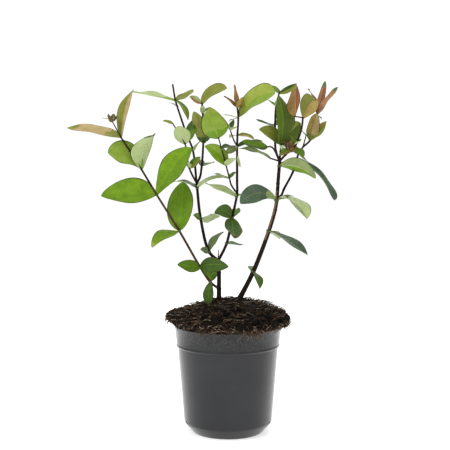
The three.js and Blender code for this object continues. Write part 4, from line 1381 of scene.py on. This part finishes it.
for index in range(FIBRES):
    turn = 2 * math.pi * scatter(521, index)
    on_edge = scatter(522, index) < ON_EDGE_SHARE
    x, y = around(turn, 70 + 3 * scatter(523, index) if on_edge else 69 * math.sqrt(scatter(523, index)))
    high = 132.5 + 7.5 * scatter(527, index) - HEAP_TILT * x if on_edge else heap_height(x, y) + 0.9
    step = (5 + 11 * scatter(524, index) ** 2) / FIBRE_STEPS
    heading = turn + (scatter(525, index) - 0.5) * 4
    bend = (scatter(526, index) - 0.5) * 2.4
    path = []
    for share in np.linspace(0, 1, FIBRE_STEPS + 1):
        x += step * math.cos(heading + bend * share)
        y += step * math.sin(heading + bend * share)
        inwards = min(1, LOOSE_RADIUS_MM / math.hypot(x, y))
        x, y = x * inwards, y * inwards
        rise = -EDGE_SAG_MM * share ** 2 if on_edge else TOP_ARCH_MM * math.sin(math.pi * share)
        path.append((x, y, high + rise))
    kind = (COIR, RUSTY, RUSTY, STRAW)[int(4 * scatter(529, index))]
    thick = STOUT_MM if scatter(530, index) < 0.5 else SLIM_MM
    add_fibre(heap, kind, path, thick + 0.5 * scatter(528, index))
print("loose fibres", FIBRES)

# %% Clumps of strands that hang over the lip
# Each clump: its turn in degrees, its count of strands, and how far they hang in millimetres.
CLUMPS = [(-62, 34, 10), (-69, 34, 12), (-75, 18, 8), (-112, 20, 8), (-98, 12, 6), (-135, 10, 5),
          (-40, 14, 7), (25, 20, 8), (80, 30, 10), (110, 24, 9), (150, 20, 8)]
STRAND_STEPS = 9

for clump, (clump_turn, fibres, hang) in enumerate(CLUMPS):
    for mark in range(40 * clump, 40 * clump + fibres):
        turn = math.radians(clump_turn + 9 * (scatter(531, mark) - 0.5) * (1 + scatter(532, mark)))
        out = 69.5 + 3.5 * scatter(533, mark)
        high = 134.5 - 4 * scatter(534, mark)
        swing = (scatter(535, mark) - 0.5) * 0.22
        curl = (scatter(536, mark) - 0.5) * 5
        drop = hang * (0.4 + 0.6 * scatter(537, mark))
        path = []
        for share in np.linspace(0, 1, STRAND_STEPS + 1):
            angle = turn + swing * share + 0.03 * math.sin(curl * share * 2)
            reach = out + 2.5 * math.sin(math.pi * share) + 0.8 * math.sin(curl * share)
            path.append((*around(angle, min(LOOSE_RADIUS_MM, reach)), high - drop * share ** 1.3))
        kind = STRAW if scatter(538, mark) < 0.2 else COIR if scatter(538, mark) < 0.5 else RUSTY
        add_fibre(heap, kind, path, 0.45 + 0.6 * scatter(539, mark))
print("hanging strands", sum(fibres for _, fibres, _ in CLUMPS))

# %% Stout strands that stand up from the heap
# Each strand: its place, its heading in degrees, its length and its rise in millimetres.
STRAYS = [(-50, -20, 165, 10, 7), (-44, -32, 40, 8, 6), (-62, -26, 200, 9, 3), (60, -30, 15, 11, 2),
          (-20, 30, 120, 9, 6), (36, 34, 60, 10, 6), (48, -44, -30, 9, 3), (12, 52, 80, 8, 5)]
STRAY_STEPS = 7
STRAY_THICK_MM = 1.3

for index, (x, y, heading, long, rise) in enumerate(STRAYS):
    foot = heap_height(x, y)
    path = []
    for share in np.linspace(0, 1, STRAY_STEPS + 1):
        along_x, along_y = around(math.radians(heading + 70 * share), long / STRAY_STEPS)
        x, y = x + along_x, y + along_y
        path.append((x, y, foot + rise * math.sin(2.4 * share)))
    add_fibre(heap, RUSTY if index % 2 else DARK_CHIP, path, STRAY_THICK_MM)
ridden(heap.finished("compost_fine", compost_materials), ["compost"])
print("compost faces", len(heap.faces))
